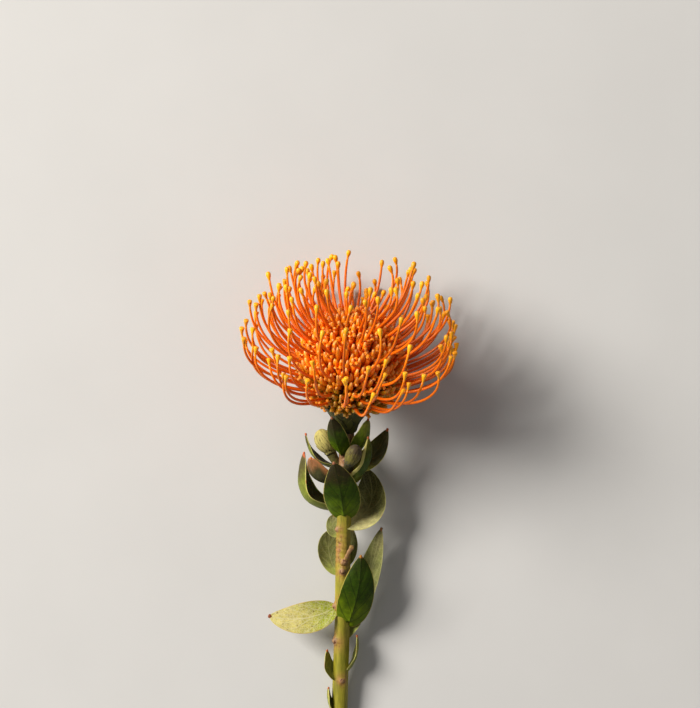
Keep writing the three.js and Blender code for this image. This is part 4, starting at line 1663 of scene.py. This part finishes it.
@dataclass
class BladeMaker:
    """What all the leaf blades share: their outline, thickness and midrib."""

    rows: int = 52
    columns: int = 33
    middle: float = 0.8
    margin: float = 0.42
    foot: float = 1.2
    end: float = 0.6
    heel: float = 0.9
    rib: float = 0.5
    nerve: float = 0.06
    wave: float = 0.35
    horn: Outline = ((-1.5, 0.25), (-1.1, 0.5), (-0.6, 0.68), (-0.1, 0.72), (0.3, 0.55), (0.5, 0.2))

    def add(self, draft: MeshDraft, leaf: Leaf, number: int) -> None:
        """Adds one blade.

        Args:
            draft: The mesh to add it to.
            leaf: Its measures.
            number: Its number for the strays of its margin.
        """
        base, tip, bow, face = (np.array(v, float) for v in (leaf.base, leaf.tip, leaf.bow, leaf.face))
        middle = (base + tip) / 2 + 2 * bow
        eased = 0.5 * (1 - np.cos(np.linspace(0, math.pi, self.rows)))
        t = (eased * 0.5 + np.linspace(0, 1, self.rows) * 0.5)[:, None]
        centre = (1 - t) ** 2 * base + 2 * t * (1 - t) * middle + t**2 * tip
        along = unit(2 * (1 - t) * (middle - base) + 2 * t * (tip - middle))
        normal = unit(face - along * (along @ face)[:, None])
        side = np.cross(along, normal)
        half = self.half_width(leaf, t)
        u = np.sin(np.linspace(-math.pi / 2, math.pi / 2, self.columns))[None, :]
        waves = t * (9 + 2 * jitter(number, Stray.RIPPLE_COUNT)) + 3 * jitter(number, Stray.RIPPLE_START)
        ripple = np.sin(waves + np.sign(u) * 1.7)
        lift = leaf.cup * half * u * u + self.wave * ripple * np.abs(u) ** 3 * np.minimum(1, half / 4)
        nerves = np.sin(NERVES_ALONG * t - NERVES_OUT * np.abs(u) ** NERVE_BOW)
        lift = lift + self.nerve * nerves * (1 - u**4) * np.minimum(1, half / 5)
        back = leaf.lobe * u * u * (1 - t) ** 5
        heel = 1 + self.heel * np.exp(-t / 0.05) * hill(u / 0.6)
        thick = (self.middle + (self.margin - self.middle) * np.abs(u)) / 2 * heel
        rounded = np.sqrt(np.maximum(1 - np.abs(u) ** 14, 0.04)) * np.sqrt(np.maximum(1 - t**30, 0.1))
        rib = self.rib * hill(u * half / 0.5) * (1 - 0.7 * t)
        spread = centre[:, None] + (u * half)[..., None] * side[:, None] - back[..., None] * along[:, None]
        upper = spread + (lift + thick * rounded - 0.2 * rib)[..., None] * normal[:, None]
        lower = spread + (lift - thick * rounded - rib)[..., None] * normal[:, None]
        grid = np.ones_like(lift)
        draft.blade(upper, lower, along=t * grid, across=u * grid, horn=0.0)
        horn = np.array(self.horn) * np.array([1.0, leaf.callus])
        line = tip + horn[:, :1] * along[-1] + leaf.cup * 0.15 * normal[-1]
        draft.rod(line, horn[:, 1], side[-1], 12, 0.8, along=1.0, across=0.0, horn=1.0, upper=1.0)

    def half_width(self, leaf: Leaf, t: Array) -> Array:
        """Half of a leaf's width at each share t of its length.

        Args:
            leaf: The leaf's measures.
            t: The shares of its length.

        Returns:
            The half width at each share.
        """
        crest = leaf.fullness / (leaf.fullness + leaf.taper)
        shape = t**leaf.fullness * (1 - t) ** leaf.taper
        shape = shape / (crest**leaf.fullness * (1 - crest) ** leaf.taper)
        return np.maximum(np.where(t < 0.5, self.foot, self.end), leaf.width / 2 * shape)


LEAVES = (
    Leaf("leaf_neck_front", (-3.6, -50, 29.6), (-8.6, -31.5, 43), (-0.2, -1.5, 2.2),
         (0.35, 0.3, -1), 11, 0.45, 1, Tone.DUSKY_SHADED),
    Leaf("leaf_neck_right", (2.4, -50.8, 26.4), (9.6, -32.5, 35.5), (1.2, -1, 0.4),
         (-0.6, 0.3, -0.75), 10, 0.4, 1, Tone.FRESH),
    Leaf("leaf_bud_right", (0.4, -63.4, 27.4), (9.6, -41.5, 34), (4.3, -3, -0.2),
         (-0.85, 0.45, -0.35), 12, 0.4, 1, Tone.EDGED),
    Leaf("leaf_back_right", (1.8, -58, 18.2), (19.5, -37.8, 18.6), (2, -3, -3.4),
         (-0.35, 0.35, 1), 12, 0.25, 0.5, Tone.OLIVE),
    Leaf("leaf_thin_left", (-4.2, -57, 18.2), (-21.8, -40.2, 20.5), (-3.4, -4.2, -1.5),
         (0.72, 0.7, 0.15), 9, 0.3, 0.5, Tone.OLIVE),
    Leaf("leaf_left_big", (-5.1, -78.6, 16), (-22.6, -49.5, 24.3), (-9.2, -6.9, -3.8),
         (0.97, 0.25, 0.14), 19, 0.55, 1.5, Tone.OLIVE, taper=0.6),
    Leaf("leaf_inner_left", (-4.2, -64, 23.4), (-19, -51.8, 34.2), (-3.2, -4.6, 1),
         (0.55, 0.6, -0.6), 14, 0.42, 0.5, Tone.RUSSET, taper=0.45),
    Leaf("leaf_front_middle", (-2.6, -80.5, 23.4), (-7.6, -54, 38), (0.9, -1, 3),
         (0.05, 0.35, -1), 18.5, 0.2, 5, Tone.DUSKY_SHADED, fullness=0.38),
    Leaf("leaf_right_big", (0.6, -85, 18.4), (9, -57.5, 17), (6.2, -4, -5),
         (-0.35, 0.15, 1), 19.5, 0.4, 5, Tone.LIT_FOOT_SHADOWED_TOP),
    Leaf("leaf_small_left", (-5.4, -91.5, 18.2), (-7.2, -80.8, 19.6), (-1.6, -0.8, -0.6),
         (-0.3, 0.1, 1), 7, 0.3, 0.5, Tone.GREYISH, taper=0.55),
    Leaf("leaf_left_back", (-6.2, -110.5, 14), (-8.6, -89, 13.5), (-2.8, 0, -2.6),
         (0.3, 0.1, 1), 12.5, 0.2, 1.5, Tone.GREYISH, taper=0.5),
    Leaf("leaf_right_thin", (-0.4, -106.5, 13.4), (1.9, -88.6, 11), (0.4, 0, -2),
         (-0.2, 0.1, 1), 7, 0.25, 0.5, Tone.GREYISH),
    Leaf("leaf_front_right", (0.2, -134.5, 14.6), (5.9, -101.2, 27), (1.7, -0.5, 2.6),
         (-0.12, 0.3, -1), 18, 0.2, 4.5, Tone.DEEP_SHADED, fullness=0.34),
    Leaf("leaf_long_right", (-2.2, -144, 8.4), (16.4, -88, 15), (1.9, 0, -3.4),
         (-0.4, 0.1, 1), 13, 0.25, 1, Tone.GREYISH),
    Leaf("leaf_left_flat", (-7.6, -128.4, 13), (-40.4, -132.4, 14), (0.5, -3.2, 2.4),
         (0.1, 0.25, 1), 16, 0.16, 1.5, Tone.YELLOW, callus=1.5),
    Leaf("leaf_edge_right", (-1.4, -160.6, 8.2), (4, -142.8, 9.5), (2.2, -1.2, 0),
         (-1, 0.35, 0.1), 8, 0.25, 0.3, Tone.PALE_LIT),
    Leaf("leaf_small_low", (-7.3, -164.6, 8), (-11.1, -150.2, 9.5), (-1.6, -0.8, 0),
         (0.8, 0.1, 0.6), 8, 0.3, 1, Tone.PALE_LIT),
    Leaf("leaf_edge_low", (-7.6, -182, 6.4), (-10.4, -169.4, 8), (-1.1, -0.6, 0),
         (1, 0.1, 0.2), 7, 0.3, 0.3, Tone.PALE_LIT),
    Leaf("leaf_under_neck", (1, -65, 19.4), (0, -40, 9.5), (1, -1.5, -5),
         (0.1, 0.4, 1), 13, 0.3, 1.5, Tone.OLIVE),
)


# ---------------------------------------------------------------- the studio


@dataclass(frozen=True)
class Lamp:
    """A square soft light: where it stands, how large it is in metres, its power and its colour."""

    name: str
    place: Point
    size: float
    watts: float
    colour: Colour = (1.0, 1.0, 1.0)


@dataclass
class Studio:
    """The table, the lights and the camera, in metres."""

    table_size: float = 8.0
    camera_place: Point = (0.5, 0.0, 1505.0)  # in the flower's layout
    lens: float = 150.0
    sky: Colour = (1.0, 0.98, 0.96)
    sky_strength: float = 0.17
    aim: Point = (0.0, 0.03, 0.04)
    lamps: tuple[Lamp, ...] = (
        Lamp("key", (-2.3, 1.15, 1.85), 1.4, 172.0, (1.0, 0.96, 0.9)),
        Lamp("fill", (0.8, -1.2, 2.4), 1.8, 3.0, (1.0, 0.98, 0.95)),
    )

    def build(self) -> None:
        """Makes all three."""
        self.table()
        self.light()
        self.camera()

    def table(self) -> None:
        """Makes the pale table top."""
        half = self.table_size / 2
        mesh = bpy.data.meshes.new("table_top")
        corners = [(-half, -half, 0), (half, -half, 0), (half, half, 0), (-half, half, 0)]
        mesh.from_pydata(corners, [], [(0, 1, 2, 3)])
        mesh.materials.append(TableFinish("table_top").material())
        table = bpy.data.objects.new("table_top", mesh)
        bpy.context.scene.collection.objects.link(table)

    def light(self) -> None:
        """Makes the lamps and the pale surroundings."""
        scene = bpy.context.scene
        for lamp in self.lamps:
            data = bpy.data.lights.new(lamp.name, "AREA")
            data.size, data.energy, data.color = lamp.size, lamp.watts, lamp.colour
            made = bpy.data.objects.new(lamp.name, data)
            made.location = lamp.place
            toward = np.array(self.aim) - np.array(lamp.place)
            made.rotation_euler = mathutils.Vector(toward).to_track_quat("-Z", "Y").to_euler()
            scene.collection.objects.link(made)
        world = bpy.data.worlds.new("surroundings")
        world.use_nodes = True
        sky = world.node_tree.nodes["Background"]
        sky.inputs["Color"].default_value = (*self.sky, 1)
        sky.inputs["Strength"].default_value = self.sky_strength
        scene.world = world
        scene.view_settings.view_transform = "Standard"

    def camera(self) -> None:
        """Makes the camera, which looks straight down with the flower's head at the top."""
        data = bpy.data.cameras.new("camera")
        data.lens = self.lens
        made = bpy.data.objects.new("camera", data)
        made.location = (np.array(self.camera_place) - MIDDLE) * MM
        bpy.context.scene.collection.objects.link(made)
        bpy.context.scene.camera = made


def main() -> None:
    """Builds the flower and the studio."""
    logging.basicConfig(level=logging.INFO, format="%(name)s %(message)s")
    Studio().build()
    head = HeadFrame()
    plan = FloretPlan(head)
    Core(head).build()
    Perianths(plan).build()
    Styles(plan).build()
    BractCup(head).build()
    Stem().build()
    for number, leaf in enumerate(LEAVES):
        leaf.build(number)
    SideBud("side_bud_left", (-4.4, -58.2, 22.4), (-15, -38.4, 29.2), 4.5, BUD_FINISH, 41, egg=0.54).build()
    SideBud("side_bud_right", (-2, -59.8, 28), (4, -46, 40), 3.6, BUD_DARK_FINISH, 51, egg=0.66).build()


if __name__ == "__main__":
    main()
